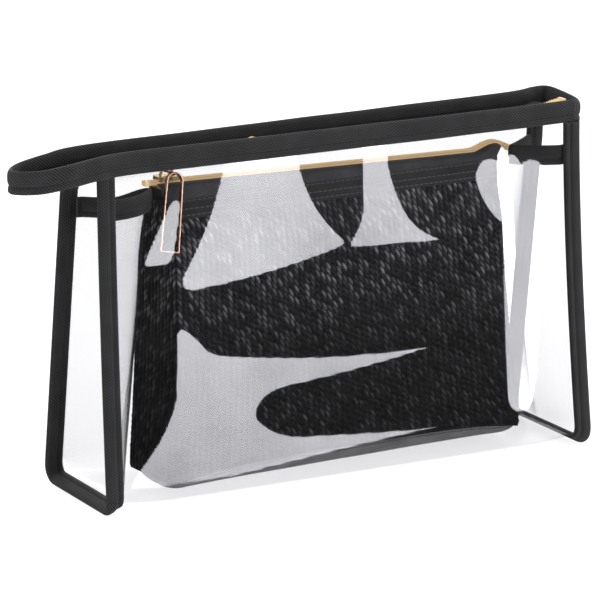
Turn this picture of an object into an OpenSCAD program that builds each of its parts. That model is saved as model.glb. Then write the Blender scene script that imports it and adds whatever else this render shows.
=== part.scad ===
// Clear zipped makeup bag with black tape bindings, and a woven zip pouch inside it.
// The bag stands on z = 0, its length runs along X and its front faces -Y.

/* [Clear bag] */
// Distance between the two end seams
bag_l = 228; // [216:1:240]
// Height of the clear panels, up to the rim binding
panel_h = 149.5; // [144:0.5:153]
// Thickness of the clear vinyl
vinyl_t = 0.5; // [0.3:0.1:0.8]
// How far each gusset folds inwards at its top edge
gusset_fold = 25; // [20:1:26]

/* [Tape bindings] */
// Width of the end bindings
bind_w = 8; // [6:0.5:9]
// Thickness of the end bindings
bind_t = 3.6; // [2.5:0.1:4]
// Height of the rim binding
rim_h = 10; // [9:0.5:12]
// Thickness of the rim binding
rim_t = 3; // [2:0.1:3.4]
// Height of the tape on each gusset's top edge
strap_h = 9; // [7:0.5:9]

/* [Woven pouch] */
// Length of the pouch at its base
pouch_l = 186; // [182:1:188]
// Height of the pouch up to its zip
pouch_h = 134; // [132:0.5:135]
// Thickness of the woven wall
weave_t = 1.1; // [0.8:0.1:1.4]
// Turn of the pouch inside the bag, in degrees
pouch_turn = 2.4; // [1.6:0.1:2.8]

/* [Zips] */
// Width of one row of zip elements
row_w = 1.5; // [1.2:0.1:1.6]
// Height of the zip elements
row_h = 2.2; // [1.8:0.1:2.4]
// Thickness of the zip tape
tape_t = 0.6; // [0.4:0.1:0.7]
// Length of a slider body
slider_l = 10.5; // [9:0.5:11]

/* [Pullers] */
// Length of the open puller frames
puller_l = 34; // [28:1:34]
// Width of the open puller frames
puller_w = 9; // [8:0.5:9]
// Depth of the metal strip that a puller is bent from
puller_d = 2.8; // [2.4:0.1:3.2]

/* [Hidden] */

tape_black = "#26262a";
gold = "#c9a257";
rose = "#b98468";
end_x = bag_l / 2;
// Y of the front and back panels at the bottom, and of the back panel's shoulder, [left, right]
front_foot = [-27.5, -32.5];
back_foot = [36.5, 32.5];
back_shoulder = [14.7, 14];
shoulder_z = 137.5;
fold_r = 5;
bind_tilt = 25;
// The floor rises to the end seams, whose tilted bindings touch the ground
floor_lift = bind_w * sin(bind_tilt) + bind_t / 2 * cos(bind_tilt);
lift_from = 94;
// Height of the floor between the lifted ends
floor_mid = 3.5;
strap_t = 2.6;
// Gap between the rim binding and a gusset's top edge
strap_down = 10.6;

// Middle line of the rim binding: x, y, and how far the tape droops there
RIM = [
    [112, -17, 0], [60, -19, 0], [0, -20, 0], [-60, -20.8, 0], [-108, -21.8, 0], [-124, -25, 0.2],
    [-138, -27.5, 1.5], [-150, -24, 3.5], [-157.5, -13.5, 4.5], [-151, -4.5, 3.8], [-137, -1.5, 1.8],
    [-118, 1, 0.2], [-60, 4, 0], [0, 7.3, 0], [60, 10.5, 0], [104, 13, 0], [119, 17.5, 0],
    [126, 17, 0], [127.5, 8, 0.6], [127.5, -4, 1.6], [124.5, -11.5, 1.6], [119, -16, 0]
];

// Outer zip: its middle line is straight, then climbs to the rim at the right end
zip_mid = [-20.5, -6.7, 150.4];
zip_turn = 1.94;
zip_from = -128;
zip_climb_at = 120;
zip_climb = 5.6;
zip_to = 142;
tape_from = -132;
outer_slider_at = -20;

// Pouch: half depths over its height, and half lengths of its front and its back
pouch_at = [2.2, -0.1, 4.4];
DEPTH = [[0, 19.5], [6, 19.5], [50, 17.2], [104, 12], [116, 9.3], [124, 6.8], [129.5, 4.6], [134, 2]];
FRONT = [[0, -1], [6, -1], [50, -5.5], [117, -8], [134, -5]];
BACK = [[0, 0], [6, 0], [50, -1.5], [117, -2], [134, -3]];
seam_w = 10;
seam_drop = 5;
hem_from = 121;
hem_to = 128.3;
zip_slope = 1.4;
pouch_zip_from = -92;
pouch_hump_at = 75;
pouch_hump = 3.2;
pouch_zip_to = 94.5;
pouch_slider_at = -82.5;

// A zip's cross-section
row_gap = 0.8;
row_in = row_gap / 2;
row_out = row_in + row_w;
run_gap = 0.3;
chan_w = 2 * (row_out + run_gap);
chan_h = row_h + 2 * run_gap;
slot_h = tape_t + 2 * run_gap;
plate_t = 1.2;
slider_w = 8.2;
slider_tail_w = 6.8;
slider_h = chan_h + 2 * plate_t;
neck_l = 2.4;
neck_t = 0.4;
bail_r = 3;
wire_r = 0.65;
bail_h = 0.2;
pin_r = 0.6;
strip_t = 0.9;
// The outer puller's free end comes down to the chain
puller_drop = 4;
// The pouch puller hangs clear of the front edge, leaning against it
hang_out = 7.2;
hang_lean = 14.6;
hang_side = 8.5;
hang_turn = -12;

function mix(a, b, t) = a + (b - a) * t;
function clamp01(t) = min(1, max(0, t));
function ease(t) = let (u = clamp01(t)) u * u * (3 - 2 * u);
function steps(a, b, n) = [for (i = [0 : n]) mix(a, b, i / n)];
function along(x) = clamp01((x + end_x) / bag_l);

// The rim's front and back runs over the bag's length
function rim_front(x) = -20 + 0.021 * x + 0.00005 * x * x;
function rim_back(x) = 7.3 + 0.0535 * x;
function front_y(x, z) =
    mix(mix(front_foot[0], front_foot[1], along(x)), rim_front(x), 1 - pow(1 - clamp01(z / panel_h), 1.5));
function back_y(x, z) =
    let (foot = mix(back_foot[0], back_foot[1], along(x)),
         shoulder = mix(back_shoulder[0], back_shoulder[1], along(x)),
         straight = mix(foot, shoulder, min(1, z / shoulder_z)))
    mix(straight, rim_back(x), ease((z - shoulder_z) / (panel_h - shoulder_z)));
function floor_z(x) = mix(floor_mid, floor_lift, ease((abs(x) - lift_from) / (end_x - lift_from)));
// How far the wrap's rounded bottom fold has come in at one height
function fold_gap(x, z) =
    let (h = max(0, floor_z(x) + fold_r - z)) fold_r - sqrt(max(0, fold_r * fold_r - h * h));

// Heights up the back panel, closer together over the shoulder
function rise_to_rim(lift) =
    concat(steps(lift + fold_r + 3, shoulder_z - 4, 8), steps(shoulder_z, panel_h, 5));

// Outline of the wrap at one x, from the front's top edge under the floor to the back's, as [y, z]
function wrap_path(x) =
    let (lift = floor_z(x),
         yf = front_y(x, lift + fold_r), yb = back_y(x, lift + fold_r))
    concat(
        [for (z = steps(panel_h, lift + fold_r + 3, 9)) [front_y(x, z), z]],
        [for (a = steps(180, 270, 5)) [yf + fold_r + fold_r * cos(a), lift + fold_r + fold_r * sin(a)]],
        [for (t = steps(0.1, 0.9, 4)) [mix(yf + fold_r, yb - fold_r, t), lift]],
        [for (a = steps(270, 360, 5)) [yb - fold_r + fold_r * cos(a), lift + fold_r + fold_r * sin(a)]],
        [for (z = rise_to_rim(lift)) [back_y(x, z), z]]
    );

// Unit normals of an open flat path, on the right of its direction of travel
function path_normals(path) =
    [for (i = [0 : len(path) - 1])
        let (d = path[min(i + 1, len(path) - 1)] - path[max(i - 1, 0)], n = norm([d[0], d[1]]))
        [d[1] / n, -d[0] / n]];
function offset_path(path, by) =
    let (n = path_normals(path)) [for (i = [0 : len(path) - 1]) [path[i][0], path[i][1]] + by * n[i]];

// Closed Catmull-Rom curve through the rim's points
function spline(p0, p1, p2, p3, t) =
    0.5 * (2 * p1 + t * (p2 - p0) + t * t * (2 * p0 - 5 * p1 + 4 * p2 - p3)
        + t * t * t * (3 * p1 - p0 - 3 * p2 + p3));
function closed_curve(points, n) =
    let (m = len(points))
    [for (i = [0 : m - 1], k = [0 : n - 1])
        spline(points[(i + m - 1) % m], points[i], points[(i + 1) % m], points[(i + 2) % m], k / n)];

// Plan of a gusset at one height: front seam, inward fold, back seam
function fold_in(side, z) =
    (side < 0 ? gusset_fold : 0.8 * gusset_fold) * pow(clamp01(z / (panel_h - strap_down)), 0.55);
function curve3(a, b, c, t) = (1 - t) * (1 - t) * a + 2 * t * (1 - t) * b + t * t * c;
function gusset_path(side, z, inset) =
    let (x = side * end_x, in = inset + fold_gap(x, z), yf = front_y(x, z) + in, yb = back_y(x, z) - in,
         d = fold_in(side, z), tip = [x - side * d, mix(yf, yb, 0.43)],
         bulge = (side < 0 ? 0 : 0.16) * (yb - yf) * clamp01(z / panel_h))
    concat(
        [for (t = steps(0, 1, 6)) curve3([x, yf], [x - side * 0.62 * d, yf + bulge], tip, t)],
        [for (t = steps(1 / 6, 1, 5)) curve3(tip, [x - side * 0.5 * d, mix(tip[1], yb, 0.42)], [x, yb], t)]
    );

// How far the left gusset's back half hangs down at one point of its plan
function gusset_dip(side, i) = side < 0 ? 4.8 * ease((i - 6) / 3) : 0;

// Solid between two equal grids of points
module between(a, b) {
    n = len(a);
    m = len(a[0]);
    k = n * m;
    function id(i, j) = i * m + j;
    faces = [for (i = [0 : n - 2], j = [0 : m - 2]) each [
        [id(i, j), id(i, j + 1), id(i + 1, j + 1)],
        [id(i, j), id(i + 1, j + 1), id(i + 1, j)],
        [k + id(i, j), k + id(i + 1, j + 1), k + id(i, j + 1)],
        [k + id(i, j), k + id(i + 1, j), k + id(i + 1, j + 1)]
    ]];
    rows = [for (j = [0 : m - 2]) each [
        [id(0, j), k + id(0, j), k + id(0, j + 1)],
        [id(0, j), k + id(0, j + 1), id(0, j + 1)],
        [id(n - 1, j), k + id(n - 1, j + 1), k + id(n - 1, j)],
        [id(n - 1, j), id(n - 1, j + 1), k + id(n - 1, j + 1)]
    ]];
    columns = [for (i = [0 : n - 2]) each [
        [id(i, 0), k + id(i + 1, 0), k + id(i, 0)],
        [id(i, 0), id(i + 1, 0), k + id(i + 1, 0)],
        [id(i, m - 1), k + id(i, m - 1), k + id(i + 1, m - 1)],
        [id(i, m - 1), k + id(i + 1, m - 1), id(i + 1, m - 1)]
    ]];
    polyhedron(concat([for (r = a) each r], [for (r = b) each r]), concat(faces, rows, columns));
}

// Solid skin over a row of equal rings; a loop joins the last ring to the first
module skin(rings, loop = false) {
    n = len(rings);
    m = len(rings[0]);
    sides = [for (i = [0 : n - (loop ? 1 : 2)], j = [0 : m - 1])
        let (a = i * m + j, b = i * m + (j + 1) % m,
             c = ((i + 1) % n) * m + (j + 1) % m, d = ((i + 1) % n) * m + j)
        each [[a, b, c], [a, c, d]]];
    caps = loop ? [] : [[for (j = [m - 1 : -1 : 0]) j], [for (j = [0 : m - 1]) (n - 1) * m + j]];
    polyhedron([for (r = rings) each r], concat(sides, caps));
}

// ---- Clear bag ----
module clear_wrap() {
    xs = steps(-end_x, end_x, 16);
    color([0.92, 0.93, 0.95, 0.35]) between(
        [for (x = xs) [for (p = wrap_path(x)) [x, p[0], p[1]]]],
        [for (x = xs) [for (p = offset_path(wrap_path(x), -vinyl_t)) [x, p[0], p[1]]]]
    );
}

module gusset(side) {
    zs = steps(floor_lift + vinyl_t + 1, panel_h - strap_down - strap_h, 11);
    top = panel_h - strap_down - strap_h;
    function row(z, out) = let (path = offset_path(gusset_path(side, z, 2 * vinyl_t + 0.2), out))
        [for (i = [0 : len(path) - 1]) [path[i][0], path[i][1], z - gusset_dip(side, i) * pow(z / top, 2)]];
    outer = [for (z = zs) row(z, 0)];
    inner = [for (z = zs) row(z, -side * vinyl_t)];
    color([0.92, 0.93, 0.95, 0.35]) intersection() {
        if (side > 0) between(outer, inner);
        else between(inner, outer);
        translate([-end_x, -60, 0]) cube([bag_l, 120, panel_h]);
    }
}

module gusset_binding(side) {
    z0 = panel_h - strap_down - strap_h;
    z1 = z0 + strap_h;
    path = gusset_path(side, z0 + strap_h / 2, vinyl_t + strap_t / 2 + 0.25);
    a = offset_path(path, -strap_t / 2);
    b = offset_path(path, strap_t / 2);
    color(tape_black) intersection() {
        skin([for (i = [0 : len(path) - 1])
            let (p = side > 0 ? a[i] : b[i], q = side > 0 ? b[i] : a[i], dip = gusset_dip(side, i))
            [[p[0], p[1], z0 - dip], [q[0], q[1], z0 - dip],
             [q[0], q[1], z1 - dip], [p[0], p[1], z1 - dip]]]);
        translate([-end_x, -60, 0]) cube([bag_l, 120, panel_h]);
    }
}

// Path of an end seam, from the rim down the front, under the end and up the back: y, z, tilt
function end_path(x) =
    let (yf = front_y(x, fold_r + floor_lift), yb = back_y(x, fold_r + floor_lift), r = fold_r)
    concat(
        [for (z = steps(panel_h, floor_lift + r + 3, 9)) [front_y(x, z), z, 0, 180]],
        [for (k = steps(0, 1, 6)) let (a = 180 + 90 * k)
            [yf + r + r * cos(a), floor_lift + r + r * sin(a), bind_tilt * ease(k), a]],
        [for (t = steps(0.1, 0.9, 4)) [mix(yf + r, yb - r, t), floor_lift, bind_tilt, 270]],
        [for (k = steps(0, 1, 6)) let (a = 270 + 90 * k)
            [yb - r + r * cos(a), floor_lift + r + r * sin(a), bind_tilt * ease(1 - k), a]],
        [for (z = rise_to_rim(floor_lift)) [back_y(x, z), z, 0, 360]]
    );

module end_binding(side) {
    x = side * end_x;
    half = bind_t / 2;
    profile = [[0, -half], [bind_w - 1.4, -half], [bind_w, -half + 1.2], [bind_w, half - 1.2],
        [bind_w - 1.4, half], [0, half]];
    rings = [for (p = end_path(x))
        let (out = [0, cos(p[3]), sin(p[3])], wide = [side * cos(p[2]), 0, 0] + sin(p[2]) * out,
             thick = cos(p[2]) * out - [side * sin(p[2]), 0, 0])
        [for (q = profile) [x, p[0], p[1]] + q[0] * wide + q[1] * thick]];
    color(tape_black) skin(side > 0 ? [for (r = rings) [for (i = [len(r) - 1 : -1 : 0]) r[i]]] : rings);
}

module rim_binding() {
    curve = closed_curve(RIM, 4);
    m = len(curve);
    top = panel_h + rim_h;
    half = rim_t / 2;
    color(tape_black) skin([for (i = [0 : m - 1])
        let (p = curve[i], d = curve[(i + 1) % m] - curve[(i + m - 1) % m],
             n = [d[1], -d[0], 0] / norm([d[0], d[1]]), q = [p[0], p[1], 0])
        [q - half * n + [0, 0, panel_h - p[2]], q + half * n + [0, 0, panel_h - p[2]],
         q + half * n + [0, 0, top - 1 - p[2]], q + 0.6 * half * n + [0, 0, top - p[2]],
         q - 0.6 * half * n + [0, 0, top - p[2]], q - half * n + [0, 0, top - 1 - p[2]]]], loop = true);
}

// ---- Zips: u along the chain, v across it, w up ----
module in_outer_zip() {
    translate(zip_mid) rotate([0, 0, zip_turn]) children();
}

module in_pouch() {
    translate(pouch_at) rotate([0, 0, pouch_turn]) children();
}

module in_pouch_zip() {
    in_pouch() translate([0, 0, pouch_h]) rotate([0, zip_slope, 0]) children();
}

// One element row along a list of [u, w] points, from v0 to v1
module element_row(line, v0, v1) {
    half = row_h / 2;
    skin([for (p = line) [[p[0], v0, p[1] - half], [p[0], v0, p[1] + half],
        [p[0], v1, p[1] + half], [p[0], v1, p[1] - half]]]);
}

function climb(u) = zip_climb * ease((u - zip_climb_at) / (zip_to - zip_climb_at));
function outer_line() = concat([[zip_from, 0]], [for (u = steps(zip_climb_at, zip_to, 8)) [u, climb(u)]]);
function hump(u) = let (k = clamp01((u - pouch_hump_at) / (pouch_zip_to - pouch_hump_at)))
    pouch_hump * sin(180 * pow(k, 1.3));
function pouch_line() = concat([[pouch_zip_from, 0]],
    [for (u = steps(pouch_hump_at, pouch_zip_to, 8)) [u, hump(u)]]);

module outer_teeth(side) {
    color(gold) in_outer_zip()
        element_row(outer_line(), side > 0 ? row_in : -row_out, side > 0 ? row_out : -row_in);
}

module pouch_teeth(side) {
    color(gold) in_pouch_zip()
        element_row(pouch_line(), side > 0 ? row_in : -row_out, side > 0 ? row_out : -row_in);
}

// Y of the rim's middle line at one x, on the front (-1) or back (+1) run
RIM_CURVE = closed_curve(RIM, 4);
function rim_y(x, side) =
    let (m = len(RIM_CURVE),
         hits = [for (i = [0 : m - 1])
             let (a = RIM_CURVE[i], b = RIM_CURVE[(i + 1) % m])
             if ((a[0] - x) * (b[0] - x) < 0) mix(a[1], b[1], (x - a[0]) / (b[0] - a[0]))])
    side < 0 ? min(hits) : max(hits);
// Half of the rim's thickness there, measured along Y
function rim_half(x, side) =
    let (slope = (rim_y(x + 1, side) - rim_y(x - 1, side)) / 2) rim_t / 2 * sqrt(1 + slope * slope) + 0.1;

// The tape closes the recess between its element row and the rim binding, and climbs with the chain
module outer_tape(side) {
    c = cos(zip_turn);
    s = sin(zip_turn);
    us = concat(steps(tape_from, zip_climb_at, 18), steps(zip_climb_at + 3, zip_to - 3, 7));
    function row_edge(u) = let (v = side * row_out)
        [zip_mid[0] + u * c - v * s, zip_mid[1] + u * s + v * c, zip_mid[2] + climb(u)];
    function rim_edge(u) = let (x = row_edge(u)[0])
        [x, rim_y(x, side) - side * rim_half(x, side), zip_mid[2] + 0.5 * climb(u)];
    function grid(t) = [for (u = us)
        [for (k = steps(0, 1, 3)) mix(rim_edge(u), row_edge(u), k) + [0, 0, t]]];
    color(tape_black)
        if (side < 0) between(grid(tape_t / 2), grid(-tape_t / 2));
        else between(grid(-tape_t / 2), grid(tape_t / 2));
}

module top_stops(from, out) {
    for (s = [-1, 1])
        translate([from - 1.7, s * (row_in + out / 2) - out / 2, -row_h / 2])
            cube([1.6, out, row_h]);
}

module bottom_stop(at, rise) {
    translate([at + 0.1, -row_out - 0.3, rise - row_h / 2 - 0.3])
        cube([1.6, 2 * row_out + 0.6, row_h + 0.6]);
}

// Slider body: a nose-wide plate pair joined by a thin neck that runs between the element rows
module slider_body() {
    nose = -slider_l / 2;
    difference() {
        translate([0, 0, -slider_h / 2]) linear_extrude(slider_h) hull() {
            for (s = [-1, 1]) {
                translate([nose + 2, s * (slider_w / 2 - 2)]) circle(2, $fn = 32);
                translate([-nose - 1.5, s * (slider_tail_w / 2 - 1.5)]) circle(1.5, $fn = 32);
            }
        }
        translate([-slider_l, -chan_w / 2, -chan_h / 2]) cube([2 * slider_l, chan_w, chan_h]);
        translate([-slider_l, -slider_w, -slot_h / 2]) cube([2 * slider_l, 2 * slider_w, slot_h]);
    }
    translate([nose + 0.3, -neck_t / 2, -chan_h / 2 - 0.2]) cube([neck_l, neck_t, chan_h + 0.4]);
}

// Bail: a wire arch over the top plate, with two short legs
module slider_bail() {
    base = slider_h / 2;
    translate([0, 0, base + bail_h]) rotate([90, 0, 0])
        rotate_extrude(angle = 180, $fn = 48) translate([bail_r, 0]) circle(wire_r, $fn = 24);
    for (s = [-1, 1]) translate([s * bail_r, 0, base]) cylinder(h = bail_h, r = wire_r, $fn = 24);
}

// Where a puller's pin turns: just under the top of the bail
function pin_w() = slider_h / 2 + bail_h + bail_r - wire_r - pin_r - 0.15;

// Open frame bent from one strip: a round head, straight sides and a square foot, along -w
module puller_frame(length, width, depth) {
    arch = width / 2 - 0.6;
    rotate([90, 0, 0]) linear_extrude(depth, center = true) difference() {
        hull() {
            translate([0, 1 - arch]) circle(arch, $fn = 48);
            for (s = [-1, 1]) translate([s * (width / 2 - 0.8), 1.8 - length]) circle(0.8, $fn = 24);
        }
        hull() {
            translate([0, 1 - arch]) circle(arch - strip_t, $fn = 48);
            for (s = [-1, 1]) translate([s * (width / 2 - strip_t - 0.4), 2 + strip_t - length])
                circle(0.4, $fn = 24);
        }
    }
}

// ---- Outer slider and puller ----
module outer_slider_body() {
    color(gold) in_outer_zip() translate([outer_slider_at, 0, 0]) slider_body();
}

module outer_slider_bail() {
    color(gold) in_outer_zip() translate([outer_slider_at, 0, 0]) slider_bail();
}

// The frame lies along the chain, pinned through the bail
module outer_puller() {
    color(rose) in_outer_zip() translate([outer_slider_at, 0, pin_w()]) rotate([0, puller_drop, 0]) {
        rotate([90, 0, 0]) cylinder(h = puller_w - 3, r = pin_r, center = true, $fn = 24);
        difference() {
            translate([-pin_r, -puller_w / 2 + 0.9, -pin_r]) cube([puller_l, puller_w - 1.8, 2 * pin_r]);
            translate([pin_r, -puller_w / 2 + 0.9 + strip_t, -2])
                cube([puller_l - 3 * pin_r, puller_w - 1.8 - 2 * strip_t, 4]);
            translate([-2, -puller_w / 2 + 0.9 + strip_t, -2])
                cube([2.2 + pin_r, puller_w - 1.8 - 2 * strip_t, 4]);
        }
    }
}

// ---- Pouch ----
function depth_at(w) = lookup(w, DEPTH);
function half_l(w, side) = pouch_l / 2 + lookup(w, side < 0 ? FRONT : BACK);
function seam_at(u) = seam_w - seam_drop * pow(min(1, abs(u) / (pouch_l / 2)), 4);
function chain_w(u) = pouch_h - tan(zip_slope) * u;
// A point of the pouch's front (-1) or back (+1) face, t from end to end
function face_point(side, t, w, inset) =
    let (h = half_l(w, side) - inset, u = mix(-h, h, t),
         round_end = 3 * pow(abs(2 * t - 1), 14))
    [u, side * (depth_at(w) - inset - round_end), w];

module face_panel(side, w0, w1, out) {
    ts = steps(0, 1, 18);
    ks = steps(0, 1, 9);
    function grid(inset) = [for (t = ts) [for (k = ks)
        let (low = w0 == 0 ? seam_at(mix(-pouch_l / 2, pouch_l / 2, t)) : w0)
        face_point(side, t, mix(low, w1, k), inset)]];
    a = grid(-out);
    b = grid(weave_t);
    if (side < 0) between(a, b);
    else between(b, a);
}

// An end wall, from front corner to back corner
module end_panel(end) {
    ws = steps(6, hem_to, 11);
    ts = steps(0, 1, 6);
    function grid(inset) = [for (w = ws) [for (t = ts)
        let (d = depth_at(w) - weave_t - 3.2, h = mix(half_l(w, -1), half_l(w, 1), t))
        [end * (h - 1.5 - inset), mix(-d, d, t), w]]];
    if (end < 0) between(grid(weave_t), grid(0));
    else between(grid(0), grid(weave_t));
}

module pouch_front_panel() {
    color("#1f1f22") in_pouch() face_panel(-1, 0, hem_from, 0);
}

module pouch_back_panel() {
    color("#1f1f22") in_pouch() face_panel(1, 0, hem_from, 0);
}

module pouch_left_side() {
    color("#1f1f22") in_pouch() end_panel(-1);
}

module pouch_right_side() {
    color("#1f1f22") in_pouch() end_panel(1);
}

// Boat-shaped base: flat underneath, turning up to the front and back seams
module pouch_base() {
    us = steps(-1, 1, 16);
    vs = steps(-1, 1, 12);
    function point(a, b, up) =
        let (u = a * (pouch_l / 2 - 4), v = b * (depth_at(6) - 0.4))
        [u, v, up + (seam_at(u) - 0.6 - weave_t) * pow(abs(b), 3)];
    color("#3a3a3f") in_pouch()
        between([for (a = us) [for (b = vs) point(a, b, weave_t)]],
            [for (a = us) [for (b = vs) point(a, b, 0)]]);
}

// Lining: one thin cloth up the front, over the base and up the back
module pouch_lining() {
    us = steps(-1, 1, 10);
    gap = weave_t + 0.9;
    cloth = 0.4;
    function path(extra) =
        let (g = gap + extra)
        concat(
            [for (w = steps(hem_from - 4, 16, 7)) [-depth_at(w) + g, w]],
            [for (b = steps(-0.9, 0.9, 8)) [b * (depth_at(6) - g), g + 11 * pow(abs(b), 3)]],
            [for (w = steps(16, hem_from - 4, 7)) [depth_at(w) - g, w]]
        );
    color("#505058") in_pouch() between(
        [for (a = us) [for (p = path(0)) [a * (pouch_l / 2 - 18), p[0], p[1]]]],
        [for (a = us) [for (p = path(cloth)) [a * (pouch_l / 2 - 18), p[0], p[1]]]]
    );
}

module pouch_front_hem() {
    color(tape_black) in_pouch() face_panel(-1, hem_from, hem_to, 0);
}

module pouch_back_hem() {
    color(tape_black) in_pouch() face_panel(1, hem_from, hem_to, 0);
}

// The tape rises from the hem, clears the slider and meets its element row level
module pouch_tape(side) {
    function path(a) =
        let (top = chain_w(a * 88) + hump(a * 88), foot = [side * depth_at(hem_to), hem_to + 0.1],
             bend = [side * 5, top - 1.3])
        [foot, mix(foot, bend, 0.5), bend, [side * 4.5, top - 0.2], [side * (row_out + 0.15), top]];
    function grid(t) = [for (a = steps(-1, 1, 24)) let (p = offset_path(path(a), t))
        [for (k = [0 : 4]) [a * mix(half_l(hem_to, side), 88, k / 4), p[k][0], p[k][1]]]];
    between(grid(-tape_t / 2), grid(tape_t / 2));
}

module pouch_tape_front() {
    color(tape_black) in_pouch() pouch_tape(-1);
}

module pouch_tape_back() {
    color(tape_black) in_pouch() pouch_tape(1);
}

module pouch_slider_body() {
    color(gold) in_pouch_zip() translate([pouch_slider_at, 0, 0]) slider_body();
}

module pouch_slider_bail() {
    color(gold) in_pouch_zip() translate([pouch_slider_at, 0, 0]) slider_bail();
}

// The frame hangs over the pouch's front edge from a pin through the bail
module pouch_puller() {
    color(rose) in_pouch_zip() translate([pouch_slider_at, 0, pin_w()]) {
        translate([0, 2.2, 0]) rotate([90, 0, 0]) cylinder(h = hang_out + 2.2, r = pin_r, $fn = 24);
        translate([0, -hang_out, 0]) rotate([-hang_lean, hang_side, hang_turn])
            puller_frame(puller_l + 1, puller_w, puller_d);
    }
}

clear_wrap();
gusset(-1);  // left_gusset
gusset(1);  // right_gusset
end_binding(-1);  // left_end_binding
end_binding(1);  // right_end_binding
gusset_binding(-1);  // left_gusset_binding
gusset_binding(1);  // right_gusset_binding
rim_binding();
outer_tape(-1);  // outer_tape_front
outer_tape(1);  // outer_tape_back
outer_teeth(-1);  // outer_teeth_front
outer_teeth(1);  // outer_teeth_back
color(gold) in_outer_zip() top_stops(zip_from, row_w);  // outer_top_stops
color(gold) in_outer_zip() bottom_stop(zip_to, zip_climb);  // outer_bottom_stop
outer_slider_body();
outer_slider_bail();
outer_puller();
pouch_front_panel();
pouch_back_panel();
pouch_left_side();
pouch_right_side();
pouch_base();
pouch_lining();
pouch_front_hem();
pouch_back_hem();
pouch_tape_front();
pouch_tape_back();
pouch_teeth(-1);  // pouch_teeth_front
pouch_teeth(1);  // pouch_teeth_back
color(gold) in_pouch_zip() top_stops(pouch_zip_from, row_w);  // pouch_top_stops
color(gold) in_pouch_zip() bottom_stop(pouch_zip_to, 0);  // pouch_bottom_stop
pouch_slider_body();
pouch_slider_bail();
pouch_puller();
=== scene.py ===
"""Finishes for a clear zipped makeup bag with a woven pouch inside it.

Run as a script, it builds every sheet, tape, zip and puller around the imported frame.
The bag stands on z = 0, its length runs along X and its front faces -Y.
"""

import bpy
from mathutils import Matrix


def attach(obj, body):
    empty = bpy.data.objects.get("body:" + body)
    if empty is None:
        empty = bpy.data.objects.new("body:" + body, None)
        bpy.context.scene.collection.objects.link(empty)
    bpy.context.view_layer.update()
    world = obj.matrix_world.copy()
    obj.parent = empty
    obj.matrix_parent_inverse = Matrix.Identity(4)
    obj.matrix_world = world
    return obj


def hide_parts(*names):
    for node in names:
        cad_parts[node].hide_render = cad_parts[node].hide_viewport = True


bl_info = {
    "name": "Clear makeup bag",
    "version": (1, 0, 0),
    "blender": (4, 5, 0),
    "location": "3D View > Sidebar > Makeup Bag",
    "description": "Builds the vinyl, tapes, zips and woven pouch around the packed frame",
    "category": "Object",
}

from math import cos, pi, radians, sin, tan
from types import SimpleNamespace

import bpy
import numpy as np
from bpy.props import FloatProperty, FloatVectorProperty, PointerProperty
from mathutils import Euler, Matrix, Vector

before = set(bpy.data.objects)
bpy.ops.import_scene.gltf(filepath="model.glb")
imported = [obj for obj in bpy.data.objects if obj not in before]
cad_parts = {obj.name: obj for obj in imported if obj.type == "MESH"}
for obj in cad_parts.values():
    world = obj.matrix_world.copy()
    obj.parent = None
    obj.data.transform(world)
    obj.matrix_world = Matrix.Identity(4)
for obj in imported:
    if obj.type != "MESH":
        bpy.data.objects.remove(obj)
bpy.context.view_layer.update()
MM = 0.001


# ---- sizes and colours ----
def length(name, text, default, low, high):
    """A length in metres that a user may change."""
    return FloatProperty(
        name=name, description=text, default=default, min=low, max=high,
        unit="LENGTH", subtype="DISTANCE", precision=4,
    )


def colour(name, text, default):
    """A linear colour that a user may change."""
    return FloatVectorProperty(
        name=name, description=text, default=default, size=3, min=0, max=1, subtype="COLOR"
    )


class BagSizes(bpy.types.PropertyGroup):
    bag_length: length("Bag length", "Distance between the two end seams", 0.228, 0.2, 0.24)
    panel_height: length("Panel height", "Height of the clear panels", 0.1495, 0.144, 0.153)
    vinyl: length("Vinyl thickness", "Thickness of the clear sheet", 0.0005, 0.0003, 0.0008)
    gusset_fold: length("Gusset fold", "How far each gusset folds in at its top", 0.025, 0.02, 0.026)
    tape_width: length("Tape width", "Width of the end bindings", 0.008, 0.006, 0.009)
    tape_thick: length("Tape thickness", "Thickness of the end bindings", 0.0036, 0.0025, 0.004)
    rim_height: length("Rim height", "Height of the rim binding", 0.01, 0.009, 0.012)
    rim_thick: length("Rim thickness", "Thickness of the rim binding", 0.003, 0.002, 0.0034)
    strap_height: length("Strap height", "Height of the tape on each gusset", 0.009, 0.007, 0.009)
    strap_thick: length("Strap thickness", "Thickness of the gusset tape", 0.0026, 0.002, 0.003)
    stitch_pitch: length("Stitch pitch", "Distance from one stitch to the next", 0.003, 0.002, 0.004)


class PouchSizes(bpy.types.PropertyGroup):
    pouch_length: length("Pouch length", "Length of the pouch at its base", 0.186, 0.182, 0.188)
    pouch_height: length("Pouch height", "Height of the pouch up to its zip", 0.134, 0.132, 0.135)
    wall: length("Woven wall", "Thickness of the woven wall", 0.0011, 0.0008, 0.0014)
    strand_width: length("Strand width", "Width of one column of the weave", 0.003, 0.0025, 0.006)
    strand_rise: length("Strand rise", "Height from one strand to the next", 0.0027, 0.002, 0.005)
    strand_relief: length("Strand relief", "How far a strand stands proud", 0.0009, 0.0, 0.0012)


class ZipSizes(bpy.types.PropertyGroup):
    row_width: length("Row width", "Width of one row of elements", 0.0015, 0.0012, 0.0016)
    row_height: length("Row height", "Height of the elements", 0.0022, 0.0018, 0.0024)
    pitch: length("Element pitch", "Distance from one element to the next", 0.0013, 0.0012, 0.002)
    tape: length("Zip tape", "Thickness of the zip tape", 0.0006, 0.0004, 0.0007)
    puller_length: length("Puller length", "Length of the open frames", 0.034, 0.028, 0.034)
    puller_width: length("Puller width", "Width of the open frames", 0.009, 0.008, 0.009)
    puller_depth: length("Puller depth", "Depth of the bent strip", 0.0028, 0.0024, 0.0032)


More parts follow.
